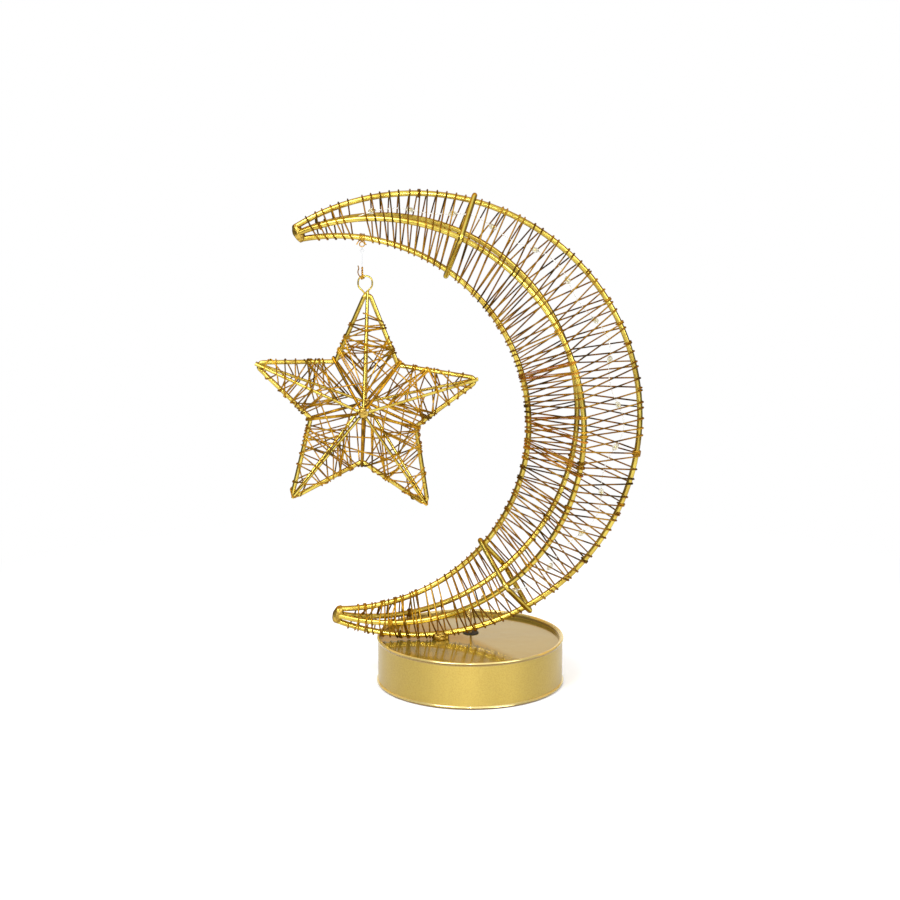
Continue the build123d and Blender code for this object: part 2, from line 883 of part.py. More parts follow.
def eye_z():
    """Height of the middle of the rim tie's eye."""
    return knot_point()[2] - rail_r - tie_clear - tie_wire_d - eye_r


def link_heights():
    """Heights of the eye's bottom wire, the nylon eye's middle and bottom, and the line loop's middle."""
    eye_low = eye_z() - eye_r
    reach = tie_wire_d / 2 + nylon_d / 2 + link_play
    nylon_mid = eye_low + reach - nylon_eye_r
    nylon_low = nylon_mid - nylon_eye_r
    loop_mid = nylon_low + nylon_d + link_play - nylon_loop_r
    return eye_low, nylon_mid, nylon_low, loop_mid


def rim_tie():
    """Wire tied round the inner rim, with an eye below it."""
    knot = knot_point()
    radial = knot - vec(inner_x, 0, inner_z)
    along = np.cross(radial, vec(0, 1, 0))
    radius = rail_r + tie_clear + tie_wire_d / 2
    coil = coil_round(knot, along, radius, tie_wire_d, tie_turns, tie_pitch)
    eye = Pos(knot[0], 0, eye_z()) * Rot(X=90) * Torus(eye_r, tie_wire_d / 2)
    return coil + eye


def hanger_eye():
    """Small nylon loop through the eye of the rim tie."""
    _, middle, _, _ = link_heights()
    return Pos(knot_point()[0], 0, middle) * Rot(Y=90) * Torus(nylon_eye_r, nylon_d / 2)


def line_end_z():
    """Height of the lower end of the nylon line."""
    return link_heights()[3] - nylon_loop_r - line_l


def hanger_line():
    """Clear nylon line with a loop at its top."""
    x = knot_point()[0]
    middle = link_heights()[3]
    loop = Pos(x, 0, middle) * Rot(X=90) * Torus(nylon_loop_r, nylon_d / 2)
    return loop + disc(nylon_d / 2, line_end_z(), middle - nylon_loop_r, x, 0)


# Star

def ring_centre():
    """Middle of the eye ring, which hangs below the end of the line."""
    return vec(knot_point()[0] + ring_right, 0, line_end_z() - hang_l - ring_r)


def star_dir(deg):
    """Direction in the star's plane, clockwise from straight up."""
    return vec(math.sin(math.radians(deg)), 0, math.cos(math.radians(deg)))


def tip_offset(arm):
    """Sharp corner of the outline at the tip of an arm, from the middle of the star."""
    deg = 360 / star_arms * arm + star_turn_deg + arm_angle_off[arm % len(arm_angle_off)]
    return star_tip_r * star_dir(deg)


def corner_offset(arm):
    """Inner corner of the outline, clockwise of an arm, from the middle of the star."""
    deg = 360 / star_arms * (arm + 0.5) + star_turn_deg + corner_angle_off[arm % len(corner_angle_off)]
    return star_corner_r * star_dir(deg)


def rounded_corner(corner, one, other, radius):
    """Point where the arc that rounds a corner between two points comes nearest to the corner."""
    towards_one = unit(one - corner)
    towards_other = unit(other - corner)
    half = math.acos(towards_one @ towards_other) / 2
    return corner + unit(towards_one + towards_other) * radius * (1 / math.sin(half) - 1)


def star_centre():
    """Middle of the star, which hangs by its top tip below the ring."""
    top = rounded_corner(tip_offset(0), corner_offset(0), corner_offset(-1), tip_bend_r)
    top_height = top[2] + outline_d / 2 + neck_l + ring_wire_d / 2 + ring_r
    return vec(knot_point()[0] + star_right, 0, ring_centre()[2] - top_height)


def star_tip(arm):
    """Sharp corner of the outline at the tip of an arm."""
    return star_centre() + tip_offset(arm)


def star_corner(arm):
    """Inner corner of the outline, clockwise of an arm."""
    return star_centre() + corner_offset(arm)


def star_outline():
    """Bent rod outline of the star."""
    points = []
    radii = []
    for arm in range(star_arms):
        points += [star_tip(arm), star_corner(arm)]
        radii += [tip_bend_r, corner_bend_r]
    return tube(rounded_edges(points, radii, True), outline_d)


def tip_round(arm):
    """Point of the outline's centre line at the rounded tip of an arm."""
    return rounded_corner(star_tip(arm), star_corner(arm), star_corner(arm - 1), tip_bend_r)


def corner_round(arm):
    """Point of the outline's centre line at a rounded inner corner."""
    return rounded_corner(star_corner(arm), star_tip(arm), star_tip(arm + 1), corner_bend_r)


def rod_line(seat, side):
    """Apex of one side, and the point where a rod from it crosses clear of a seat on the outline."""
    apex = star_centre() + vec(0, side * star_depth, 0)
    flat = math.hypot(*(seat - apex)[[0, 2]])
    slope = math.atan2(star_depth, flat)
    lift = (outline_d / 2 + ridge_clear + ridge_d / 2) / math.cos(slope)
    return apex, seat + vec(0, side * lift, 0)


def frame_rod(seat, side):
    """Rod from an apex weld to a point of the outline, which it crosses and passes by a nub."""
    apex, over = rod_line(seat, side)
    way = unit(over - apex)
    flat = math.hypot(way[0], way[2])
    return straight_rod(apex + way * apex_bare_r / flat, over + way * ridge_nub, ridge_d)


def ridge(arm, side):
    """Rod along the ridge of an arm."""
    return frame_rod(tip_round(arm), side)


def valleys(side):
    """Rods from the apex to the five inner corners."""
    return [frame_rod(corner_round(arm), side) for arm in range(star_arms)]


def apex_weld(side):
    """Weld where the rods of one side meet."""
    sizes = (apex_weld_r, apex_weld_h, apex_weld_r)
    sink = star_depth * apex_bare_r / star_corner_r / 2
    place = star_centre() + vec(0, side * (star_depth - sink), 0)
    return Pos(*place) * scale(Sphere(1), by=sizes)


def star_ring():
    """Eye ring with its neck on the star's top tip."""
    centre = ring_centre()
    foot = tip_round(0) + vec(0, 0, outline_d / 2 + neck_gap)
    low = centre - vec(0, 0, ring_r)
    ring = Pos(*centre) * Rot(X=90) * Torus(ring_r, ring_wire_d / 2)
    return ring + straight_rod(foot, low, neck_d)


def ring_tie():
    """Fine wire tied on the eye ring, with a stem up to the nylon line."""
    centre = ring_centre()
    x = knot_point()[0]
    seat = vec(x, 0, centre[2] + math.sqrt(ring_r**2 - (x - centre[0])**2))
    along = np.cross(seat - centre, vec(0, 1, 0))
    radius = ring_wire_d / 2 + tie_clear + tie_wire_d / 2
    coil = coil_round(seat, along, radius, tie_wire_d, tie_turns, tie_pitch)
    foot = seat + unit(seat - centre) * radius
    knuckle = vec(x, 0, foot[2] + tie_wire_d)
    stem = straight_rod(knuckle, vec(x, 0, line_end_z() - twist_gap), tie_wire_d)
    joint = straight_rod(foot, knuckle, tie_wire_d) + Pos(*knuckle) * Sphere(tie_wire_d / 2)
    return coil + joint + stem


def star_winding(arm):
    """Wire wound round one arm: left edge, front ridge, right edge, back ridge."""
    tip = star_tip(arm)
    left = star_corner(arm - 1)
    right = star_corner(arm)
    centre = star_centre()
    along = unit(tip - centre)
    corners = 4 * star_wire_loops
    edge_r = outline_d / 2 + star_wire_clear + star_wire_d / 2
    ridge_r = ridge_d / 2 + star_wire_clear + star_wire_d / 2
    centres = []
    radii = []
    for i in range(-1, corners + 2):
        share = star_wire_first + (star_wire_last - star_wire_first) * i / corners
        if 0 < i < corners:
            share += star_wire_uneven * math.sin(uneven_step * (i // 4) + i % 4 + arm)
        edge_left = tip + (left - tip) * share
        edge_right = tip + (right - tip) * share
        reach = ((edge_left + edge_right) / 2 - centre) @ along
        centres.append(star_rod_point(arm, i % 4, edge_left, edge_right, reach))
        radii.append(edge_r if i % 2 == 0 else ridge_r)
    name = f"star_winding_{arm + 1} of {star_wire_loops} loops"
    return wound_tube(name, centres, radii, star_wire_d, wire_tail)


def star_rod_point(arm, place, edge_left, edge_right, reach):
    """Centre of the rod that a turn passes: an edge, or a ridge at its distance from the middle."""
    if place == 0:
        return edge_left
    if place == 2:
        return edge_right
    apex, over = rod_line(tip_round(arm), -1 if place == 1 else 1)
    flat = math.hypot(*(over - apex)[[0, 2]])
    return apex + (over - apex) * reach / flat


# Assembly

def all_nodes():
    """Every node with its solid or list of solids."""
    nodes = {
        "base_shell": base_shell(),
        "base_lid": base_lid(),
        "base_grommet": base_grommet(),
        "battery_box": battery_box(),
        "battery_door": battery_door(),
        "contact_plates": contact_plates(),
        "contact_springs": contact_springs(),
        "box_screws": box_screws(),
        "switch_housing": switch_housing(),
        "switch_slider": switch_slider(),
        "switch_screws": switch_screws(),
        "supply_lead": supply_lead(),
        "outer_rail": rail(0),
        "front_spine": rail(1),
        "inner_rail": rail(2),
        "back_spine": rail(3),
        "upper_brace": brace(upper_brace_deg),
        "lower_brace": brace(lower_brace_deg),
        "upper_tip_weld": tip_weld(upper_tip_deg, 1),
        "lower_tip_weld": tip_weld(lower_tip_deg, -1),
        "light_string": light_string(),
        "light_drops": light_drops(),
        "rim_tie": rim_tie(),
        "hanger_eye": hanger_eye(),
        "hanger_line": hanger_line(),
        "ring_tie": ring_tie(),
        "star_ring": star_ring(),
        "star_outline": star_outline(),
        "front_valleys": valleys(-1),
        "back_valleys": valleys(1),
        "front_apex_weld": apex_weld(-1),
        "back_apex_weld": apex_weld(1),
    }
    nodes["foot_weld"] = foot_weld(nodes["outer_rail"])
    for index in range(cell_count):
        nodes[f"cell_{index + 1}"] = cell(index)
    for number, (first_deg, last_deg) in enumerate(winding_spans(), 1):
        if number in plain_windings:
            nodes[f"winding_{number}"] = winding_walls(first_deg, last_deg)
        else:
            nodes[f"winding_{number}"] = winding(number, first_deg, last_deg)
    for arm in range(star_arms):
        nodes[f"front_ridge_{arm + 1}"] = ridge(arm, -1)
        nodes[f"back_ridge_{arm + 1}"] = ridge(arm, 1)
        nodes[f"star_winding_{arm + 1}"] = star_winding(arm)
    return nodes


def main():
    """Writes one STEP file for each node."""
    os.makedirs("parts", exist_ok=True)
    for name, shape in all_nodes().items():
        pieces = shape if isinstance(shape, list) else [shape]
        solids = [solid for piece in pieces for solid in piece.solids()]
        body = solids[0] if len(solids) == 1 else Compound(children=solids)
        body.label = name
        export_step(body, f"parts/{name}.step")


main()
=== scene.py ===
"""Eid crescent ornament: fine wire, welds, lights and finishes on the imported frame."""

import logging
import math
import random
from dataclasses import dataclass
from enum import Enum

import bmesh
import bpy
from mathutils import Matrix, Vector, noise


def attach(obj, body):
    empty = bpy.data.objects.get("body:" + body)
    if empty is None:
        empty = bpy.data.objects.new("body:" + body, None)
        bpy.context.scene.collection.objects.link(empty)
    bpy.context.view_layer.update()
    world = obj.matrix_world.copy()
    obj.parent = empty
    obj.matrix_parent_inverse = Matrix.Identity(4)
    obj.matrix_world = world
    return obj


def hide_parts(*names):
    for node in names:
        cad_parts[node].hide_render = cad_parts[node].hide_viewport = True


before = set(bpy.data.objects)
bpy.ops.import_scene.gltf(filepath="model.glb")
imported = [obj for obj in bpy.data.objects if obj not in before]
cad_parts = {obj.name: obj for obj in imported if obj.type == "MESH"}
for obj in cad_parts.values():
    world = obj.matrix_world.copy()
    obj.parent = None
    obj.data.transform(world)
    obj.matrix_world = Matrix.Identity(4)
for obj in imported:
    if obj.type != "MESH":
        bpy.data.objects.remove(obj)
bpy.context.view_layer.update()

LOG = logging.getLogger("eid_ornament")
MM = 0.001
FULL_TURN = 2 * math.pi
NOISE_BAND = (0.3, 0.7)
BUMP_STRENGTH = 0.5
SIX_SIDED_BEVEL = 1
LUMP_SCALES = (1.6, 3.6)
LUMP_SHIFT = (3.1, 1.7, 2.3)

Tree = bpy.types.NodeTree
Node = bpy.types.Node
Socket = bpy.types.NodeSocket


class Rod(Enum):
    """The crescent's long rods, in the order in which the wire passes them."""

    OUTER_RIM = 0
    FRONT_SPINE = 1
    INNER_RIM = 2
    BACK_SPINE = 3


class Side(Enum):
    """The two faces of the ornament, with their way along Y."""

    FRONT = -1
    BACK = 1


class Lay(Enum):
    """How neatly a length of wire is wound: unevenness of its corners, in degrees of spoke."""

    NEAT = 0.3
    LOOSE = 0.85


# Helpers for colours and shader nodes

def linear(code: str) -> tuple[float, float, float, float]:
    """Turns an sRGB hex colour to linear.

    Args:
        code: Colour such as "#D2B25E".

    Returns:
        Red, green, blue and an alpha of 1.
    """
    channels = [int(code[i:i + 2], 16) / 255 for i in (1, 3, 5)]
    values = [c / 12.92 if c <= 0.04045 else ((c + 0.055) / 1.055) ** 2.4 for c in channels]
    return values[0], values[1], values[2], 1.0


def cycles_per(size_mm: float) -> float:
    """Pattern scale in Object coordinates for a feature of a real size."""
    return 1 / (size_mm * MM)


def span(side: str, ends: tuple[float, float]) -> dict[str, float]:
    """Inputs for both ends of a mapped range, on its From or its To side."""
    return {f"{side} Min": ends[0], f"{side} Max": ends[1]}


def feed(tree: Tree, node: Node, inputs: dict) -> None:
    """Sets or links inputs of a node.

    Args:
        tree: Node tree that holds the node.
        node: The node.
        inputs: A value, a socket to link from, or a node to link from, for each input by name or number.
    """
    for key, value in inputs.items():
        if isinstance(value, Node):
            value = next(socket for socket in value.outputs if socket.enabled)
        if isinstance(value, Socket):
            tree.links.new(value, node.inputs[key])
        else:
            node.inputs[key].default_value = value


def add_node(tree: Tree, kind: str, inputs: dict | None = None, **settings: str) -> Node:
    """Adds a node with its settings and its values or links.

    Args:
        tree: Node tree that gets the node.
        kind: Blender's name of the node type, after ShaderNode.
        inputs: Its inputs, as feed takes them.
        settings: Attributes of the node.

    Returns:
        The new node.
    """
    node = tree.nodes.new("ShaderNode" + kind)
    for key, value in settings.items():
        setattr(node, key, value)
    feed(tree, node, inputs or {})
    return node


# Finishes

@dataclass(frozen=True)
class Finish:
    """A finish that builds its own material for one slot of the record."""

    name: str
    slot: str

    def build(self) -> bpy.types.Material:
        """Makes the material with its nodes.

        Returns:
            The material.
        """
        material = bpy.data.materials.new(self.name)
        material.use_nodes = True
        tree = material.node_tree
        coords = add_node(tree, "TexCoord").outputs["Object"]
        feed(tree, tree.nodes["Principled BSDF"], self.look(tree, coords))
        return material

    def look(self, tree: Tree, coords: Socket) -> dict:
        """Adds the finish's own nodes; each kind of finish has its own.

        Args:
            tree: The material's nodes.
            coords: Object coordinates.

        Returns:
            Inputs of the principled shader.
        """
        raise NotImplementedError


@dataclass(frozen=True)
class PlatedMetal(Finish):
    """Plated or bare metal with slow patches of tone, a fine grain, and a dark edge tint that paints shade at
    its edges.
    """

    bright: str = "#E2CA5A"
    dull: str = "#BEA03C"
    # Dark edge tint: grazing reflections fall to this colour, a painted shade at the edges
    edge: str = "#7A6618"
    patch_mm: float = 14.0
    grain_mm: float = 2.5
    smooth: float = 0.17
    rough: float = 0.25
    bump_mm: float = 0.006
    lacquer: float = 0.35
    lacquer_rough: float = 0.12
    patch_band: tuple[float, float] = (0.38, 0.62)

    def look(self, tree: Tree, coords: Socket) -> dict:
        """Adds patches to the colour, and grain to the roughness and the surface.

        Args:
            tree: The material's nodes.
            coords: Object coordinates.

        Returns:
            Inputs of the principled shader.
        """
        patches = add_node(tree, "TexNoise", {
            "Vector": coords, "Scale": cycles_per(self.patch_mm), "Detail": 3.0})
        share = add_node(tree, "MapRange", {"Value": patches, **span("From", self.patch_band)})
        tone = add_node(tree, "Mix", {
            0: share, 6: linear(self.dull), 7: linear(self.bright)}, data_type="RGBA")
        grain = add_node(tree, "TexNoise", {
            "Vector": coords, "Scale": cycles_per(self.grain_mm), "Detail": 2.0})
        gloss = add_node(tree, "MapRange", {
            "Value": grain, **span("From", NOISE_BAND), **span("To", (self.smooth, self.rough))})
        bump = add_node(tree, "Bump", {
            "Height": grain, "Strength": BUMP_STRENGTH, "Distance": self.bump_mm * MM})
        return {"Metallic": 1.0, "Specular Tint": linear(self.edge), "Coat Weight": self.lacquer,
                "Coat Roughness": self.lacquer_rough, "Base Color": tone, "Roughness": gloss, "Normal": bump}


@dataclass(frozen=True)
class WindingWire(Finish):
    """Copper-gold wire: long stretches of brown, orange and gold, broken by short dashes where it twists."""

    dark: str = "#4A3610"
    middle: str = "#A06C14"
    light: str = "#D0A034"
    # Dark edge tint: grazing reflections fall to this brown, a painted shade at the wire's edges
    edge: str = "#5E4612"
    stretch_mm: float = 16.0
    dash_mm: float = 1.6
    dash: float = 0.3
    roughness: float = 0.3
    metal: float = 0.6
    tone_at: tuple[float, float, float] = (0.36, 0.5, 0.66)
    dash_band: tuple[float, float] = (0.45, 0.6)
    dent_mm: float = 0.03

    def look(self, tree: Tree, coords: Socket) -> dict:
        """Adds the stretches and dashes to the colour.

        Args:
            tree: The material's nodes.
            coords: Object coordinates.

        Returns:
            Inputs of the principled shader.
        """
        stretches = add_node(tree, "TexNoise", {
            "Vector": coords, "Scale": cycles_per(self.stretch_mm), "Detail": 2.0})
        ramp = add_node(tree, "ValToRGB", {"Fac": stretches})
        stops = ramp.color_ramp.elements
        stops[0].position, stops[1].position = self.tone_at[0], self.tone_at[2]
        stops[0].color, stops[1].color = linear(self.dark), linear(self.light)
        stops.new(self.tone_at[1]).color = linear(self.middle)
        dashes = add_node(tree, "TexNoise", {
            "Vector": coords, "Scale": cycles_per(self.dash_mm), "Detail": 1.0})
        depth = add_node(tree, "MapRange", {
            "Value": dashes, **span("From", self.dash_band), **span("To", (0.0, self.dash))})
        tone = add_node(tree, "Mix", {0: depth, 6: ramp, 7: linear(self.dark)}, data_type="RGBA")
        bump = add_node(tree, "Bump", {
            "Height": dashes, "Strength": BUMP_STRENGTH, "Distance": self.dent_mm * MM})
        return {"Metallic": self.metal, "Roughness": self.roughness, "Specular Tint": linear(self.edge),
                "Base Color": tone, "Normal": bump}


@dataclass(frozen=True)
class LacqueredTin(Finish):
    """Gold lacquer on turned tin: speckled satin wall, glossy bowed top, rolled edges in a dark painted shade
    with a painted highlight where they face up.
    """

    side: str = "#BEA44A"
    speckle: str = "#AD903B"
    top: str = "#AC963C"
    speckle_mm: float = 0.7
    side_rough: float = 0.5
    top_rough: float = 0.17
    brushed: float = 0.7
    wall_mm: tuple[float, float] = (2.0, 23.4)
    # Painted light on the rolled edges: a dark colour as painted shade, and a pale colour as a painted
    # highlight where they face up
    rolled: str = "#7E5F18"
    painted_crest_highlight: str = "#EAD58A"
    rolled_rough: float = 0.18
    metal: float = 0.65
    lacquer: float = 0.6
    lacquer_rough: float = 0.1
    bow: float = 0.13
    bow_way: tuple[float, float, float] = (0.85, 0.52, 0.0)
    bow_soft_mm: float = 6.0
    speckle_band: tuple[float, float] = (0.4, 0.7)
    speckle_share: float = 0.6
    top_facing: tuple[float, float] = (0.75, 0.98)
    crest_facing: tuple[float, float] = (-0.1, 0.25)
    groove_turn: float = 0.25
    wave_mm: float = 9.0
    wave_high_mm: float = 0.2
    wave_strength: float = 0.2

    def tone(self, tree: Tree, coords: Socket, upward: Node, rolled: Node, facing: Socket) -> Node:
        """Colour of the speckled wall and the top, and the painted shade and painted highlight of the rolled
        edges.

        Args:
            tree: The material's nodes.
            coords: Object coordinates.
            upward: Share by which the tin faces up.
            rolled: 1 on the rolled edges.
            facing: Upward part of the surface's direction.

        Returns:
            The node with the colour.
        """
        dots = add_node(tree, "TexNoise", {
            "Vector": coords, "Scale": cycles_per(self.speckle_mm), "Detail": 2.0})
        faint = add_node(tree, "MapRange", {
            "Value": dots, **span("From", self.speckle_band), "To Max": self.speckle_share})
        wall = add_node(tree, "Mix", {
            0: faint, 6: linear(self.side), 7: linear(self.speckle)}, data_type="RGBA")
        flat = add_node(tree, "Mix", {0: upward, 6: wall, 7: linear(self.top)}, data_type="RGBA")
        # Painted highlight: the rolled edges go from their painted shade to the pale colour where they face
        # up
        wear_and_painted_highlight = add_node(tree, "MapRange", {"Value": facing, **span("From", self.crest_facing)})
        roll_painted_light = add_node(tree, "Mix", {
            0: wear_and_painted_highlight, 6: linear(self.rolled), 7: linear(self.painted_crest_highlight)}, data_type="RGBA")
        return add_node(tree, "Mix", {0: rolled, 6: flat, 7: roll_painted_light}, data_type="RGBA")

    def relief(self, tree: Tree, coords: Socket, upward: Node) -> Node:
        """Slow waves of the sheet, and the slight bow of the top.

        Args:
            tree: The material's nodes.
            coords: Object coordinates.
            upward: Share by which the tin faces up.

        Returns:
            The node with the bent surface direction.
        """
        ripple = add_node(tree, "TexNoise", {
            "Vector": coords, "Scale": cycles_per(self.wave_mm), "Detail": 1.0})
        waves = add_node(tree, "Bump", {
            "Height": ripple, "Strength": self.wave_strength, "Distance": self.wave_high_mm * MM})
        along = add_node(tree, "VectorMath", {0: coords, 1: self.bow_way}, operation="DOT_PRODUCT")
        fall = add_node(tree, "Math", {0: along, 1: 0.0, 2: self.bow_soft_mm * MM}, operation="SMOOTH_MIN")
        dip = add_node(tree, "Math", {0: fall, 1: upward}, operation="MULTIPLY")
        return add_node(tree, "Bump", {
            "Height": dip, "Strength": 1.0, "Distance": self.bow, "Normal": waves})

    def look(self, tree: Tree, coords: Socket) -> dict:
        """Turns the brushed wall into a smooth top where the tin faces up, between rolled edges.

        Args:
            tree: The material's nodes.
            coords: Object coordinates.

        Returns:
            Inputs of the principled shader.
        """
        normal = add_node(tree, "NewGeometry").outputs["Normal"]
        facing = add_node(tree, "SeparateXYZ", {0: normal}).outputs["Z"]
        upward = add_node(tree, "MapRange", {"Value": facing, **span("From", self.top_facing)})
        gloss = add_node(tree, "MapRange", {
            "Value": upward, **span("To", (self.side_rough, self.top_rough))})
        height = add_node(tree, "SeparateXYZ", {0: coords}).outputs["Z"]
        low, high = (edge * MM for edge in self.wall_mm)
        above = add_node(tree, "Math", {0: height, 1: high}, operation="GREATER_THAN")
        below = add_node(tree, "Math", {0: height, 1: low}, operation="LESS_THAN")
        rolled = add_node(tree, "Math", {0: above, 1: below}, operation="MAXIMUM")
        polish = add_node(tree, "Mix", {0: rolled, 2: gloss, 3: self.rolled_rough}, data_type="FLOAT")
        grooves = add_node(tree, "MapRange", {"Value": upward, **span("To", (self.brushed, 0.0))})
        round_way = add_node(tree, "Tangent", direction_type="RADIAL", axis="Z")
        return {"Metallic": self.metal, "Anisotropic Rotation": self.groove_turn, "Coat Weight": self.lacquer,
                "Coat Roughness": self.lacquer_rough, "Roughness": polish, "Anisotropic": grooves,
                "Tangent": round_way, "Base Color": self.tone(tree, coords, upward, rolled, facing),
                "Normal": self.relief(tree, coords, upward)}


@dataclass(frozen=True)
class Moulding(Finish):
    """Moulded plastic or rubber with a sparked mould texture."""

    colour: str = "#202124"
    wear_and_painted_highlight: str = "#2C2D31"
    grit_mm: float = 0.35
    smooth: float = 0.4
    rough: float = 0.55
    bump_mm: float = 0.05
    ior: float = 1.52

    def look(self, tree: Tree, coords: Socket) -> dict:
        """Adds the grit to colour, roughness and surface.

        Args:
            tree: The material's nodes.
            coords: Object coordinates.

        Returns:
            Inputs of the principled shader.
        """
        grit = add_node(tree, "TexNoise", {
            "Vector": coords, "Scale": cycles_per(self.grit_mm), "Detail": 2.0})
        tone = add_node(tree, "Mix", {
            0: grit, 6: linear(self.colour), 7: linear(self.wear_and_painted_highlight)}, data_type="RGBA")
        gloss = add_node(tree, "MapRange", {
            "Value": grit, **span("From", NOISE_BAND), **span("To", (self.smooth, self.rough))})
        bump = add_node(tree, "Bump", {
            "Height": grit, "Strength": BUMP_STRENGTH, "Distance": self.bump_mm * MM})
        return {"IOR": self.ior, "Base Color": tone, "Roughness": gloss, "Normal": bump}


@dataclass(frozen=True)
class CellSleeve(Finish):
    """Shrink sleeve on a cell: dark body with a copper band towards one end."""

    body: str = "#2A2D33"
    band: str = "#B0713A"
    band_mm: tuple[float, float] = (16.66, 17.0)
    film_mm: float = 3.0
    gloss: tuple[float, float] = (0.22, 0.38)
    metal: float = 0.5

    def look(self, tree: Tree, coords: Socket) -> dict:
        """Adds the band along the cell and a faint gloss change.

        Args:
            tree: The material's nodes.
            coords: Object coordinates.

        Returns:
            Inputs of the principled shader.
        """
        along = add_node(tree, "SeparateXYZ", {0: coords}).outputs["X"]
        edge = (self.band_mm[0] * MM, self.band_mm[1] * MM)
        band = add_node(tree, "MapRange", {
            "Value": along, **span("From", edge)}, interpolation_type="SMOOTHSTEP")
        tone = add_node(tree, "Mix", {0: band, 6: linear(self.body), 7: linear(self.band)}, data_type="RGBA")
        film = add_node(tree, "TexNoise", {"Vector": coords, "Scale": cycles_per(self.film_mm)})
        gloss = add_node(tree, "MapRange", {"Value": film, **span("To", self.gloss)})
        return {"Metallic": self.metal, "Base Color": tone, "Roughness": gloss}


@dataclass(frozen=True)
class ClearCast(Finish):
    """Clear resin or nylon with slight ripples."""

    tint: str = "#FBF7E2"
    ior: float = 1.5
    roughness: float = 0.3
    ripple_mm: float = 0.9
    ripple_high_mm: float = 0.1
    ripple_strength: float = 0.3

    def look(self, tree: Tree, coords: Socket) -> dict:
        """Adds the ripples of the cast surface.

        Args:
            tree: The material's nodes.
            coords: Object coordinates.

        Returns:
            Inputs of the principled shader.
        """
        ripple = add_node(tree, "TexNoise", {"Vector": coords, "Scale": cycles_per(self.ripple_mm)})
        bump = add_node(tree, "Bump", {
            "Height": ripple, "Strength": self.ripple_strength, "Distance": self.ripple_high_mm * MM})
        return {"Base Color": linear(self.tint), "IOR": self.ior, "Roughness": self.roughness,
                "Transmission Weight": 1.0, "Normal": bump}


# Gold plated steel rod, drawn and bright: a warm yellow face that falls to olive brown at its edges, a
# painted shade from its dark edge tint
GOLD_ROD = PlatedMetal("gold_plated_steel_rod", "gold_rod")
# Copper-gold winding wire: brown to orange, broken by small dashes
GOLD_WIRE = WindingWire("copper_gold_winding_wire", "gold_wire")
# Plated weld beads: dull, lumpy and pitted
GOLD_WELD = PlatedMetal(
    "plated_weld_metal", "gold_weld", "#D6B552", "#9C7A2C", "#6B5416", 2.2, 0.5, 0.26, 0.46, 0.12)
# Bright copper tie wire: orange, nearly without dark stretches
TIE_WIRE = WindingWire("copper_tie_wire", "gold_wire", "#7E4E12", "#B9701A", "#D8983A", "#8A5A18")
# Star's winding wire: brighter than the crescent's, orange to gold, with short dark dashes where it twists
STAR_WIRE = WindingWire(
    "copper_gold_star_wire", "gold_wire", "#664A12", "#AE7A14", "#D8A834", "#745818", 9.0, 1.3, 0.4)
# Gold lacquer on turned tin: a satin wall with an upright highlight, a mirror-like top in two tones, rolled
# edges in painted shade with a painted highlight
GOLD_TIN = LacqueredTin("gold_lacquered_tin", "gold_tin")
# The same lacquer, thinner and duller, on the pressed lid
LID_TIN = LacqueredTin(
    "gold_lacquered_lid_tin", "lid_tin", "#B79650", "#A5843F", "#A98C4C", 0.7, 0.46, 0.3, bow=0.0)
# Moulded rubber: black and nearly without gloss
BLACK_RUBBER = Moulding("moulded_black_rubber", "black_rubber", "#161617", "#232324", 0.5, 0.62, 0.8, 0.04)
# Moulded ABS with a sparked texture: soft grey gloss on black
BLACK_ABS = Moulding("moulded_black_abs", "black_abs")
# Moulded ABS of the switch knob, smoother than the box
KNOB_ABS = Moulding("moulded_knob_abs", "switch_knob", "#2A2A2D", "#36363A", 0.6, 0.28, 0.4, 0.02)
# Shrink sleeve on a steel can: dark gloss with one copper band
CELL_SLEEVE = CellSleeve("sleeved_steel_can", "cell_can")
# Nickel plated spring steel: cool grey, brushed
NICKEL = PlatedMetal(
    "nickel_plated_spring_steel", "contact_steel", "#C9C8C3", "#A9A8A2", "#8F8F8B",
    4.0, 0.25, 0.22, 0.38, 0.02)
# PVC sleeve of the lead: smooth amber that sinks among the gold wires
PVC_SLEEVE = Moulding("extruded_amber_pvc", "lead_sleeve", "#A07C36", "#B28E46", 1.2, 0.3, 0.42, 0.02)
# Fine wire under pale enamel: almost lost against white
SILVER_WIRE = Moulding("pale_enamelled_wire", "light_wire", "#E9E7DE", "#F2F1EC", 2.0, 0.25, 0.4, 0.02)
# Clear cast resin: shows the background bent, with a bright rim
CLEAR_RESIN = ClearCast("clear_cast_resin", "clear_resin")
# Clear drawn nylon line
CLEAR_NYLON = ClearCast("clear_drawn_nylon", "clear_nylon", "#F2F4F6", 1.53, 0.15, 1.5)
# Light chip: pale yellow phosphor under the resin
CHIP_PHOSPHOR = Moulding("light_chip_phosphor", "clear_resin", "#E9D98C", "#F3E9B8", 0.3, 0.4, 0.6, 0.02)

RIDGE_NODES = tuple(f"{side}_ridge_{arm}" for side in ("front", "back") for arm in range(1, 6))
CARRIED: dict[Finish, tuple[str, ...]] = {
    GOLD_ROD: ("outer_rail", "inner_rail", "front_spine", "back_spine", "upper_brace", "lower_brace",
               "star_outline", *RIDGE_NODES),
    STAR_WIRE: ("front_valleys", "back_valleys"),
    GOLD_TIN: ("base_shell",),
    LID_TIN: ("base_lid",),
    BLACK_RUBBER: ("base_grommet",),
    BLACK_ABS: ("battery_box", "battery_door", "switch_housing"),
    KNOB_ABS: ("switch_slider",),
    CELL_SLEEVE: ("cell_1", "cell_2", "cell_3"),
    NICKEL: ("contact_plates", "contact_springs", "box_screws", "switch_screws"),
    CLEAR_NYLON: ("hanger_eye", "hanger_line"),
}


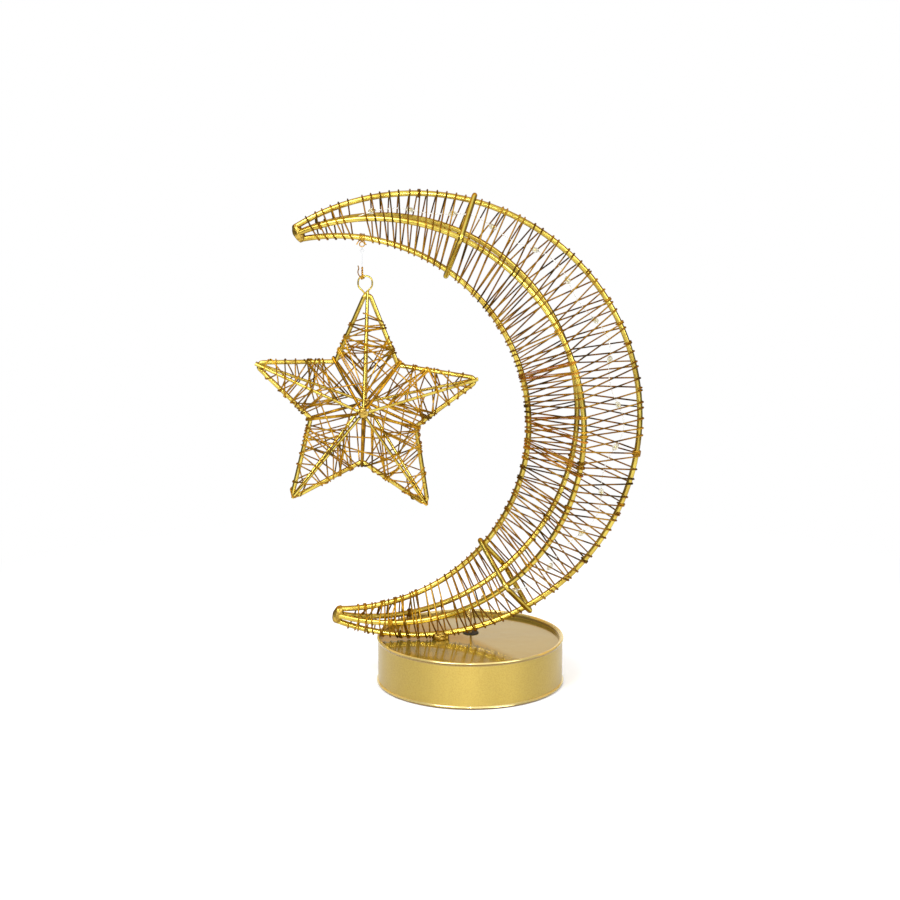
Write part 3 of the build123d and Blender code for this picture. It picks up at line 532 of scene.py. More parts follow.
class Dresser:
    """Builds each finish once and puts it on pieces and carried-over nodes."""

    def __init__(self) -> None:
        """Starts with no finish built."""
        self.materials: dict[Finish, bpy.types.Material] = {}

    def material(self, finish: Finish) -> bpy.types.Material:
        """Gives the material of a finish, built on its first use.

        Args:
            finish: The finish.

        Returns:
            Its material.
        """
        if finish not in self.materials:
            self.materials[finish] = finish.build()
        return self.materials[finish]

    def piece(self, obj: bpy.types.Object, finish: Finish, body: str, *nodes: str) -> None:
        """Dresses a finished piece and fixes it to its body.

        Args:
            obj: The piece.
            finish: Its finish.
            body: The CAD body that it rides on.
            nodes: The CAD nodes that it stands for.
        """
        obj.data.materials.clear()
        obj.data.materials.append(self.material(finish))
        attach(obj, body)
        if nodes:
            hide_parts(*nodes)
        LOG.info("%s: %d faces, rides on %s", obj.name, len(obj.data.polygons), body)

    def carried(self) -> None:
        """Dresses every CAD node that stays."""
        for finish, names in CARRIED.items():
            for name in names:
                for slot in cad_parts[name].material_slots:
                    slot.material = self.material(finish)


# Wire on taut paths, in millimetres

@dataclass(frozen=True)
class Stop:
    """A rod that a taut wire passes round, with any extra turns and the way in which they advance."""

    centre: Vector
    radius: float
    along: Vector
    turns: int = 0


class TautWire:
    """Control points of a wire pulled tight round rods."""

    settle_rounds = 8
    corner_step = math.radians(65)
    leg_share = 0.45
    turn_pitch = 1.2

    def __init__(self, stops: list[Stop], wire_mm: float) -> None:
        """Takes the rods in order; the first and last only give the way of the ends.

        Args:
            stops: Rods in order.
            wire_mm: Diameter of the wire.
        """
        self.stops = stops
        self.wire_mm = wire_mm

    def settled(self) -> list[Vector]:
        """Pulls the wire tight round its rods.

        Returns:
            One corner point for each rod.
        """
        corners = [stop.centre.copy() for stop in self.stops]
        for _ in range(self.settle_rounds):
            moved = [corner.copy() for corner in corners]
            for i in range(1, len(corners) - 1):
                inward = (corners[i] - corners[i - 1]).normalized()
                outward = (corners[i + 1] - corners[i]).normalized()
                half = inward.angle(outward) / 2
                lean = (inward - outward).normalized()
                moved[i] = self.stops[i].centre + lean * self.stops[i].radius / math.cos(half)
            corners = moved
        return corners

    def turn(self, stop: Stop, before: Vector, here: Vector, after: Vector) -> list[Vector]:
        """Control points with which the wire passes one rod.

        Args:
            stop: The rod.
            before: Corner before it.
            here: Its own corner.
            after: Corner after it.

        Returns:
            A point on the run in, the points round the rod and a point on the run out.
        """
        inward = (here - before).normalized()
        outward = (after - here).normalized()
        axis = inward.cross(outward).normalized()
        sweep = inward.angle(outward) + FULL_TURN * stop.turns
        count = max(1, math.ceil(sweep / self.corner_step))
        step = sweep / count
        reach = 2 * stop.radius * math.tan(step / 2)
        side = axis.cross(inward)
        points = []
        for k in range(count):
            theta = (k + 0.5) * step
            way = math.cos(theta) * inward + math.sin(theta) * side
            advance = stop.along * self.wire_mm * self.turn_pitch * stop.turns * ((k + 0.5) / count - 0.5)
            points.append(stop.centre - axis.cross(way) * stop.radius / math.cos(step / 2) + advance)
        run_in = points[0] - inward * min(reach, self.leg_share * (here - before).length)
        run_out = points[-1] + outward * min(reach, self.leg_share * (after - here).length)
        return [run_in, *points, run_out]

    def points(self, tail_mm: float) -> list[Vector]:
        """Control points of the whole wire.

        Args:
            tail_mm: Length of each free end.

        Returns:
            Points for one spline.
        """
        corners = self.settled()
        path: list[Vector] = []
        for i in range(1, len(corners) - 1):
            path += self.turn(self.stops[i], corners[i - 1], corners[i], corners[i + 1])
        first = path[0] + (corners[0] - path[0]).normalized() * tail_mm
        last = path[-1] + (corners[-1] - path[-1]).normalized() * tail_mm
        return [first, *path, last]


def spline_mesh(name: str, paths: list[list[Vector]], diameter_mm: float,
                resolution: int) -> bpy.types.Mesh:
    """Smooth tubes on control points, as one mesh.

    Args:
        name: Name of the mesh.
        paths: Control points of each tube, in millimetres.
        diameter_mm: Diameter of the tubes, or 0 for bare lines.
        resolution: Points for each control point.

    Returns:
        The mesh, in metres.
    """
    curve = bpy.data.curves.new(name + "_path", "CURVE")
    curve.dimensions = "3D"
    curve.resolution_u = resolution
    curve.bevel_depth = diameter_mm / 2 * MM
    curve.bevel_resolution = SIX_SIDED_BEVEL
    curve.use_fill_caps = True
    for path in paths:
        spline = curve.splines.new("NURBS")
        spline.points.add(len(path) - 1)
        for point, place in zip(spline.points, path):
            point.co = (*(place * MM), 1.0)
        spline.order_u = 3
        spline.use_endpoint_u = True
    holder = bpy.data.objects.new(name + "_path", curve)
    mesh = bpy.data.meshes.new_from_object(holder)
    mesh.name = name
    bpy.data.objects.remove(holder)
    bpy.data.curves.remove(curve)
    return mesh


def place_mesh(name: str, mesh: bpy.types.Mesh, smooth: bool = True) -> bpy.types.Object:
    """Puts a mesh in the scene.

    Args:
        name: Name of the object.
        mesh: The mesh, in metres.
        smooth: Whether its faces are shaded as one round surface.

    Returns:
        The object, at the origin.
    """
    obj = bpy.data.objects.new(name, mesh)
    bpy.context.scene.collection.objects.link(obj)
    mesh.polygons.foreach_set("use_smooth", [smooth] * len(mesh.polygons))
    return obj


def place_form(name: str, form: bmesh.types.BMesh, smooth: bool = True) -> bpy.types.Object:
    """Puts a finished form in the scene and frees it.

    Args:
        name: Name of the object.
        form: The form, in metres.
        smooth: Whether its faces are shaded as one round surface.

    Returns:
        The object, at the origin.
    """
    mesh = bpy.data.meshes.new(name)
    form.to_mesh(mesh)
    form.free()
    return place_mesh(name, mesh, smooth)


def wire_piece(name: str, paths: list[list[Vector]], diameter_mm: float,
               resolution: int = 3) -> bpy.types.Object:
    """A piece of wire strands.

    Args:
        name: Name of the piece.
        paths: Control points of each strand, in millimetres.
        diameter_mm: Diameter of the wire.
        resolution: Points for each control point.

    Returns:
        The piece, at the origin.
    """
    return place_mesh(name, spline_mesh(name, paths, diameter_mm, resolution))


def coil_points(centre: Vector, axis: Vector, start: Vector, radius: float, turns: float,
                pitch: float) -> list[Vector]:
    """Control points of a close coil.

    Args:
        centre: Middle of the coil.
        axis: Way along it.
        start: Direction from the axis to its first point.
        radius: Radius at the middle of the wire.
        turns: Number of turns.
        pitch: Advance for each turn.

    Returns:
        Eight points for each turn.
    """
    corners = 8
    axis = axis.normalized()
    first = (start - axis * start.dot(axis)).normalized()
    second = axis.cross(first)
    reach = radius / math.cos(math.pi / corners)
    points = []
    for i in range(round(turns * corners) + 1):
        angle = FULL_TURN * i / corners
        along = axis * pitch * (i / corners - turns / 2)
        points.append(centre + along + reach * (math.cos(angle) * first + math.sin(angle) * second))
    return points


def weld_bead(name: str, place: Matrix, sizes_mm: tuple[float, float, float], lump: float,
              seed: int) -> bpy.types.Object:
    """A lumpy bead of weld metal.

    Args:
        name: Name of the piece.
        place: Turn and place of the bead, in millimetres.
        sizes_mm: Half sizes along its own axes.
        lump: Height of the lumps, as a share of the half size.
        seed: Start of the lumps' pattern.

    Returns:
        The piece, at the origin.
    """
    bead = bmesh.new()
    bmesh.ops.create_icosphere(bead, subdivisions=4, radius=1.0)
    offset = Vector([seed * shift for shift in LUMP_SHIFT])
    coarse, fine = LUMP_SCALES
    for vert in bead.verts:
        wave = noise.noise(vert.co * coarse + offset) + 0.5 * noise.noise(vert.co * fine + offset)
        vert.co *= 1 + lump * (wave - 0.5)
    bmesh.ops.transform(bead, matrix=Matrix.Diagonal((*sizes_mm, 1.0)), verts=bead.verts)
    bmesh.ops.transform(bead, matrix=Matrix.Scale(MM, 4) @ place, verts=bead.verts)
    return place_form(name, bead)


# Crescent

@dataclass(frozen=True)
class CrescentLines:
    """Centre lines of the crescent's four rods, by spoke angle at one hub, in millimetres."""

    hub_x: float = -40.6
    hub_z: float = 145.15
    outer: tuple[float, float, float] = (-29.6, 145.45, 119.9)
    inner: tuple[float, float, float] = (-70.3, 141.75, 101.4)
    spine_depth: float = 29.0
    spine_bulge: float = 140.0
    spine_tip_y: float = 1.65
    upper_tip_deg: float = 116.6
    lower_tip_deg: float = -106.2
    rod_r: float = 1.5
    step_deg: float = 0.2

    def hub(self) -> Vector:
        """Centre of the spokes."""
        return Vector((self.hub_x, 0, self.hub_z))

    def spoke(self, deg: float) -> Vector:
        """Direction of a spoke."""
        return Vector((math.cos(math.radians(deg)), 0, math.sin(math.radians(deg))))

    def rim(self, deg: float, circle: tuple[float, float, float]) -> Vector:
        """Point of a rim's circle on a spoke.

        Args:
            deg: Spoke angle.
            circle: The rim's centre x and z, and its radius.

        Returns:
            The point.
        """
        offset = self.hub() - Vector((circle[0], 0, circle[1]))
        along = offset.dot(self.spoke(deg))
        reach = -along + math.sqrt(along**2 - offset.dot(offset) + circle[2]**2)
        return self.hub() + reach * self.spoke(deg)

    def nose(self, deg: float) -> Vector:
        """Middle between the two rims on a spoke."""
        return (self.rim(deg, self.outer) + self.rim(deg, self.inner)) / 2

    def spine(self, deg: float, side: Side) -> Vector:
        """Point of a spine in the upright plane of a spoke.

        Args:
            deg: Spoke angle.
            side: Face of the crescent.

        Returns:
            The point.
        """
        shift = Vector((0, side.value * self.spine_tip_y, 0))
        start = self.nose(self.upper_tip_deg) + shift
        end = self.nose(self.lower_tip_deg) + shift
        chord = (end - start).normalized()
        across = chord.cross(Vector((0, 1, 0))).normalized()
        across = across if across.x > 0 else -across
        rise = across * self.spine_bulge + Vector((0, side.value * (self.spine_depth - self.spine_tip_y), 0))
        radius = ((end - start).length_squared / 4 + rise.length_squared) / (2 * rise.length)
        out = rise.normalized()
        centre = (start + end) / 2 + out * (rise.length - radius)
        normal = Vector((-self.spoke(deg).z, 0, self.spoke(deg).x))
        a = radius * out.dot(normal)
        b = radius * chord.dot(normal)
        c = (centre - self.hub()).dot(normal)
        swing = math.acos(max(-1.0, min(1.0, -c / math.hypot(a, b))))
        angles = (math.atan2(b, a) + swing, math.atan2(b, a) - swing)
        points = [centre + radius * (math.cos(t) * out + math.sin(t) * chord) for t in angles]
        return max(points, key=lambda p: (p - self.hub()).dot(self.spoke(deg)))

    def point(self, rod: Rod, deg: float) -> Vector:
        """Point of a rod on a spoke.

        Args:
            rod: The rod.
            deg: Spoke angle.

        Returns:
            The point.
        """
        if rod is Rod.OUTER_RIM:
            return self.rim(deg, self.outer)
        if rod is Rod.INNER_RIM:
            return self.rim(deg, self.inner)
        return self.spine(deg, Side.FRONT if rod is Rod.FRONT_SPINE else Side.BACK)

    def along(self, rod: Rod, deg: float) -> Vector:
        """Way along a rod, towards the lower horn."""
        return (self.point(rod, deg - self.step_deg) - self.point(rod, deg + self.step_deg)).normalized()

    def between(self, deg: float, share: float) -> Vector:
        """Point on a spoke at a share of the way from the inner to the outer rim."""
        return self.rim(deg, self.inner) * (1 - share) + self.rim(deg, self.outer) * share


LINES = CrescentLines()


@dataclass(frozen=True)
class CageWinding:
    """One length of wire wound round the crescent's rods."""

    number: int
    first_deg: float
    last_deg: float
    lay: Lay
    front_lead: float = 0.5
    pitch_deg: float = 2.3
    wire_mm: float = 0.85
    clear_mm: float = 0.06
    lump_share: float = 0.1
    tail_mm: float = 1.2
    in_cad: bool = True
    finish: WindingWire = GOLD_WIRE
    seed: int = 400

    def stops(self) -> list[Stop]:
        """Lays out the wire, with handmade unevenness and a few double turns.

        Returns:
            The rods that the wire passes, in order.
        """
        draw = random.Random(self.seed + self.number)
        loops = max(2, round((self.first_deg - self.last_deg) / self.pitch_deg))
        pitch = (self.last_deg - self.first_deg) / loops
        share_at = (0.0, self.front_lead / 2, self.front_lead, (1 + self.front_lead) / 2)
        corners = 4 * loops
        radius = LINES.rod_r + self.clear_mm + self.wire_mm / 2
        stops = []
        for i in range(-1, corners + 2):
            rod = Rod(i % 4)
            deg = self.first_deg + pitch * (i // 4 + share_at[i % 4])
            slack = draw.uniform(-self.lay.value, self.lay.value)
            lump = draw.random() < self.lump_share
            inside = 0 < i < corners
            deg = max(self.last_deg, min(self.first_deg, deg + slack * inside))
            stops.append(Stop(LINES.point(rod, deg), radius, LINES.along(rod, deg), int(lump and inside)))
        return stops

    def build(self, dresser: Dresser) -> None:
        """Makes the winding and dresses it.

        Args:
            dresser: Puts on the finish.
        """
        path = TautWire(self.stops(), self.wire_mm).points(self.tail_mm)
        obj = wire_piece(f"cage_wire_{self.number}", [path], self.wire_mm)
        dresser.piece(obj, self.finish, "stand", *((f"winding_{self.number}",) if self.in_cad else ()))


@dataclass(frozen=True)
class CageTies:
    """Doubled wires that tie the inner rim to the front spine, as bundles of a few passes."""

    places_deg: tuple[float, ...] = (19.6, 18.0, 0.6, -0.9, -9.6, -11.2)
    passes: int = 2
    wire_mm: float = 0.5
    clear_mm: float = 0.3
    corner_deg: float = 60.0
    pitch: float = 1.1
    slant_deg: float = 3.0
    seed: int = 71

    def loop(self, deg: float, slant_deg: float) -> list[Vector]:
        """Control points of one bundle.

        Args:
            deg: Spoke angle at the inner rim.
            slant_deg: How much lower it meets the spine.

        Returns:
            Points that go round both rods in turn.
        """
        ends = (LINES.point(Rod.INNER_RIM, deg), LINES.point(Rod.FRONT_SPINE, deg - slant_deg))
        ways = (LINES.along(Rod.INNER_RIM, deg), LINES.along(Rod.FRONT_SPINE, deg - slant_deg))
        reach = (LINES.rod_r + self.clear_mm + self.wire_mm / 2) / math.cos(math.radians(self.corner_deg / 2))
        points = []
        for lap in range(2 * self.passes):
            end = lap % 2
            out = (ends[end] - ends[1 - end]).normalized()
            side = out.cross(ways[end]).normalized()
            advance = ways[end] * self.wire_mm * self.pitch * (lap // 2 - self.passes / 2)
            for turn in (-1, 0, 1):
                angle = math.radians(turn * self.corner_deg)
                points.append(ends[end] + advance + reach * (math.cos(angle) * out + math.sin(angle) * side))
        return points

    def build(self, dresser: Dresser) -> None:
        """Makes all the bundles as one piece.

        Args:
            dresser: Puts on the finish.
        """
        draw = random.Random(self.seed)
        paths = [self.loop(deg, draw.uniform(-self.slant_deg, self.slant_deg)) for deg in self.places_deg]
        obj = wire_piece("cage_ties", paths, self.wire_mm, 4)
        dresser.piece(obj, TIE_WIRE, "stand")


@dataclass(frozen=True)
class CrescentWelds:
    """Weld beads at both noses and on the base."""

    nose_mm: float = 3.1
    cover_mm: float = 0.3
    lump: float = 0.1
    foot_x: float = -16.4
    foot_z: float = 24.6
    foot_mm: tuple[float, float, float] = (5.2, 3.5, 3.7)
    foot_lump: float = 0.22

    def nose(self, name: str, deg: float, way: int, seed: int, dresser: Dresser) -> None:
        """Makes the bead that closes the rods' ends at a horn.

        Args:
            name: Name of the piece.
            deg: Spoke angle of the nose.
            way: 1 at the upper horn and -1 at the lower.
            seed: Start of the lumps' pattern.
            dresser: Puts on the finish.
        """
        gap = LINES.rim(deg, LINES.outer) - LINES.rim(deg, LINES.inner)
        across = gap.normalized()
        away = Vector((0, 1, 0)).cross(across).normalized()
        side = Vector((-LINES.spoke(deg).z, 0, LINES.spoke(deg).x)) * way
        away = away if away.dot(side) > 0 else -away
        cover = LINES.rod_r + self.cover_mm
        sizes = (gap.length / 2 + cover, LINES.spine_tip_y + cover, self.nose_mm)
        turn = Matrix((across, away.cross(across), away)).transposed().to_4x4()
        place = Matrix.Translation(LINES.nose(deg)) @ turn
        bead = weld_bead(name, place, sizes, self.lump, seed)
        dresser.piece(bead, GOLD_WELD, "stand", f"{name[:5]}_tip_weld")

    def build(self, dresser: Dresser) -> None:
        """Makes the three beads.

        Args:
            dresser: Puts on the finish.
        """
        self.nose("upper_nose_bead", LINES.upper_tip_deg, 1, 3, dresser)
        self.nose("lower_nose_bead", LINES.lower_tip_deg, -1, 8, dresser)
        place = Matrix.Translation((self.foot_x, 0, self.foot_z))
        bead = weld_bead("foot_bead", place, self.foot_mm, self.foot_lump, 5)
        dresser.piece(bead, GOLD_WELD, "stand", "foot_weld")


# Lights

@dataclass(frozen=True)
class LightString:
    """Two-strand light wire inside the crescent, its drops, and the lead from the base."""

    lead_x: float = 0.4
    lead_y: float = 12.3
    lead_z: float = 19.8
    lead_out_y: float = 32.55
    lead_box_y: float = 23.5
    lead_low_z: float = 10.35
    lead_top_z: float = 34.9
    lead_mm: float = 1.2
    lead_bend: float = 1.2
    lead_run_in: float = 1.6
    lead_turn: float = 0.1
    lead_rise: float = 2.4
    join: tuple[float, float, float] = (0.0, 0.0, 0.1)
    entry: tuple[float, float, float] = (3.4, -0.8, 7.0)
    stops: tuple[tuple[float, float], ...] = (
        (-62.0, 0.62), (-50.0, 0.86), (-38.0, 0.72), (-26.0, 0.90), (-13.0, 0.70), (-2.0, 0.92),
        (10.0, 0.72), (21.0, 0.90), (33.0, 0.74), (45.0, 0.90), (57.0, 0.72), (69.0, 0.86),
        (80.0, 0.66), (91.0, 0.80), (101.0, 0.55))
    strand_mm: float = 0.26
    lay_mm: float = 0.22
    twist_mm: float = 6.0
    drop_mm: float = 2.9
    drop_long_mm: float = 4.5
    chip_mm: float = 0.9
    chip_long_mm: float = 1.26

    def route(self) -> list[Vector]:
        """Route of the light wire.

        Returns:
            Its points, from the lead's end to the upper horn.
        """
        top = Vector((self.lead_x, self.lead_y, self.lead_top_z))
        points = [top + Vector(self.join), top + Vector(self.entry)]
        return points + [LINES.between(deg, share) for deg, share in self.stops]

    def strands(self) -> list[list[Vector]]:
        """Twists two strands about the route's smooth line.

        Returns:
            Control points of each strand.
        """
        line = spline_mesh("light_route", [self.route()], 0.0, 20)
        spots = [vert.co / MM for vert in line.vertices]
        bpy.data.meshes.remove(line)
        strands: list[list[Vector]] = [[], []]
        travelled = 0.0
        side = Vector((0, 1, 0))
        for i, spot in enumerate(spots):
            after = spots[min(i + 1, len(spots) - 1)]
            before = spots[max(i - 1, 0)]
            way = (after - before).normalized()
            side = (side - way * side.dot(way)).normalized()
            travelled += (spot - before).length
            angle = FULL_TURN * travelled / self.twist_mm
            lean = math.cos(angle) * side + math.sin(angle) * way.cross(side)
            strands[0].append(spot + lean * self.lay_mm)
            strands[1].append(spot - lean * self.lay_mm)
        return strands

    def beads(self, name: str, sizes_mm: tuple[float, float, float], subdivisions: int) -> bpy.types.Object:
        """A round bead on each run of the route.

        Args:
            name: Name of the piece.
            sizes_mm: Half sizes, the last along the wire.
            subdivisions: Fineness of each bead.

        Returns:
            The piece, at the origin.
        """
        route = self.route()
        beads = bmesh.new()
        for start, end in zip(route[1:], route[2:]):
            turn = (end - start).to_track_quat("Z", "Y").to_matrix().to_4x4()
            place = Matrix.Translation((start + end) / 2) @ turn @ Matrix.Diagonal((*sizes_mm, 1.0))
            bmesh.ops.create_icosphere(
                beads, subdivisions=subdivisions, radius=1.0, matrix=Matrix.Scale(MM, 4) @ place)
        return place_form(name, beads)

    def lead(self) -> list[Vector]:
        """Route of the supply lead, with one more point near each end of its upright runs.

        Returns:
            Its control points.
        """
        out_y, low_z, bend = self.lead_out_y, self.lead_low_z, self.lead_bend
        hole_y, high_z = self.lead_y, self.lead_z
        return [Vector((self.lead_x, y, z)) for y, z in (
            (self.lead_box_y, low_z), (out_y - bend, low_z), (out_y, low_z + bend),
            (out_y, high_z - bend), (out_y - bend, high_z), (hole_y + self.lead_run_in, high_z),
            (hole_y, high_z + self.lead_turn), (hole_y, high_z + self.lead_rise), (hole_y, self.lead_top_z))]

    def build(self, dresser: Dresser) -> None:
        """Makes the lead, the light wire and its drops.

        Args:
            dresser: Puts on the finish.
        """
        lead = wire_piece("lead_sleeve", [self.lead()], self.lead_mm, 6)
        dresser.piece(lead, PVC_SLEEVE, "stand", "supply_lead")
        strands = wire_piece("light_strands", self.strands(), self.strand_mm, 1)
        dresser.piece(strands, SILVER_WIRE, "stand", "light_string")
        half = self.drop_mm / 2
        drops = self.beads("resin_drops", (half, half, self.drop_long_mm / 2), 3)
        dresser.piece(drops, CLEAR_RESIN, "stand", "light_drops")
        half = self.chip_mm / 2
        chips = self.beads("light_chips", (half, half, self.chip_long_mm / 2), 1)
        dresser.piece(chips, CHIP_PHOSPHOR, "stand")


# Hanger

@dataclass(frozen=True)
class Hanger:
    """Wire ties on the rim and on the star's ring, in millimetres; a coil is clearance, turns and pitch."""

    knot_deg: float = 99.7
    wire_mm: float = 0.6
    eye_r: float = 1.3
    eye_z: float = 238.701
    line_end_z: float = 227.101
    ring_x: float = -55.706
    ring_z: float = 218.301
    ring_r: float = 3.4
    ring_wire_mm: float = 1.0
    star_top: tuple[float, float] = (-54.57, 211.70)
    eye_turns: int = 1
    eye_pitch: float = 0.1
    rim_coil: tuple[float, int, float] = (0.1, 4, 0.72)
    rim_start: tuple[tuple[float, float, float], ...] = ((-1.2, -0.5, -1.9), (-0.6, -0.3, -1.0))
    rim_end: tuple[tuple[float, float, float], ...] = ((0.5, -0.4, -0.9), (1.1, -0.6, -1.7))
    ring_shape: tuple[tuple[float, float], ...] = (
        (-0.35, -6.0), (-0.55, -5.0), (-1.9, -3.6), (-3.75, -1.9), (-3.75, 1.9), (-1.8, 3.75),
        (1.8, 3.75), (3.75, 1.9), (3.75, -1.9), (1.9, -3.6), (0.6, -4.9), (0.9, -5.6))
    ring_bead_mm: tuple[float, float, float] = (1.25, 1.0, 0.7)
    ring_bead_off: tuple[float, float] = (-0.5, 1.3)
    ring_bead_lump: float = 0.25
    ring_coil: tuple[float, int, float] = (0.08, 3, 0.68)
    stem_points: int = 8
    stem_turn: float = 4.5
    stem_lean: float = 0.32
    stem_from: float = 0.9
    stem_gap: float = 0.3
    curl: tuple[tuple[float, float, float], ...] = (
        (0.0, 0.0, 0.0), (-0.8, -0.3, 1.2), (-1.0, -0.5, 3.0), (-0.2, -0.6, 4.4), (-0.9, -0.6, 5.8))

    def rim_knot(self, dresser: Dresser) -> None:
        """Tie on the inner rim: a close coil, an eye below it and two short ends.

        Args:
            dresser: Puts on the finish.
        """
        knot = LINES.point(Rod.INNER_RIM, self.knot_deg)
        way = LINES.along(Rod.INNER_RIM, self.knot_deg)
        clear, turns, pitch = self.rim_coil
        radius = LINES.rod_r + clear + self.wire_mm / 2
        coil = coil_points(knot, way, Vector((0, 0, -1)), radius, turns, pitch)
        middle = Vector((knot.x, 0, self.eye_z))
        eye = coil_points(
            middle, Vector((0, 1, 0)), Vector((0, 0, 1)), self.eye_r, self.eye_turns, self.eye_pitch)
        start = [coil[0] + Vector(step) for step in self.rim_start]
        end = [coil[-1] + Vector(step) for step in self.rim_end]
        obj = wire_piece("rim_knot", [start + coil + end, eye], self.wire_mm)
        dresser.piece(obj, GOLD_WIRE, "stand", "rim_tie")

    def ring(self, dresser: Dresser) -> None:
        """Pear-shaped ring whose two ends run down to the star's top.

        Args:
            dresser: Puts on the finish.
        """
        points = [Vector((self.ring_x + x, 0, self.ring_z + z)) for x, z in self.ring_shape]
        ring = wire_piece("ring_wire", [points], self.ring_wire_mm, 5)
        dresser.piece(ring, GOLD_ROD, "star", "star_ring")
        x, z = (top + off for top, off in zip(self.star_top, self.ring_bead_off))
        place = Matrix.Translation((x, 0, z))
        bead = weld_bead("ring_bead", place, self.ring_bead_mm, self.ring_bead_lump, 11)
        dresser.piece(bead, GOLD_WELD, "star")

    def ring_knot(self, dresser: Dresser) -> None:
        """Tie on the ring: a close coil, a twisted stem up to the line, and one curled free end.

        Args:
            dresser: Puts on the finish.
        """
        x = LINES.point(Rod.INNER_RIM, self.knot_deg).x
        centre = Vector((self.ring_x, 0, self.ring_z))
        seat = Vector((x, 0, self.ring_z + math.sqrt(self.ring_r**2 - (x - self.ring_x)**2)))
        way = (seat - centre).cross(Vector((0, 1, 0)))
        clear, turns, pitch = self.ring_coil
        radius = self.ring_wire_mm / 2 + clear + self.wire_mm / 2
        coil = coil_points(seat, way, seat - centre, radius, turns, pitch)
        rise = self.line_end_z - self.stem_gap - seat.z - self.stem_from
        stems = []
        for phase in (0.0, math.pi):
            stem = []
            for i in range(self.stem_points + 1):
                angle = phase + FULL_TURN * i / self.stem_turn
                lean = Vector((math.cos(angle), math.sin(angle), 0)) * self.stem_lean
                stem.append(Vector((x, 0, seat.z + self.stem_from + rise * i / self.stem_points)) + lean)
            stems.append(stem)
        curl = [coil[-1] + Vector(step) for step in self.curl]
        obj = wire_piece("ring_knot", [coil, *stems, curl], self.wire_mm)
        dresser.piece(obj, GOLD_WIRE, "star", "ring_tie")

    def build(self, dresser: Dresser) -> None:
        """Makes the ties and the ring.

        Args:
            dresser: Puts on the finish.
        """
        self.rim_knot(dresser)
        self.ring(dresser)
        self.ring_knot(dresser)


# Star

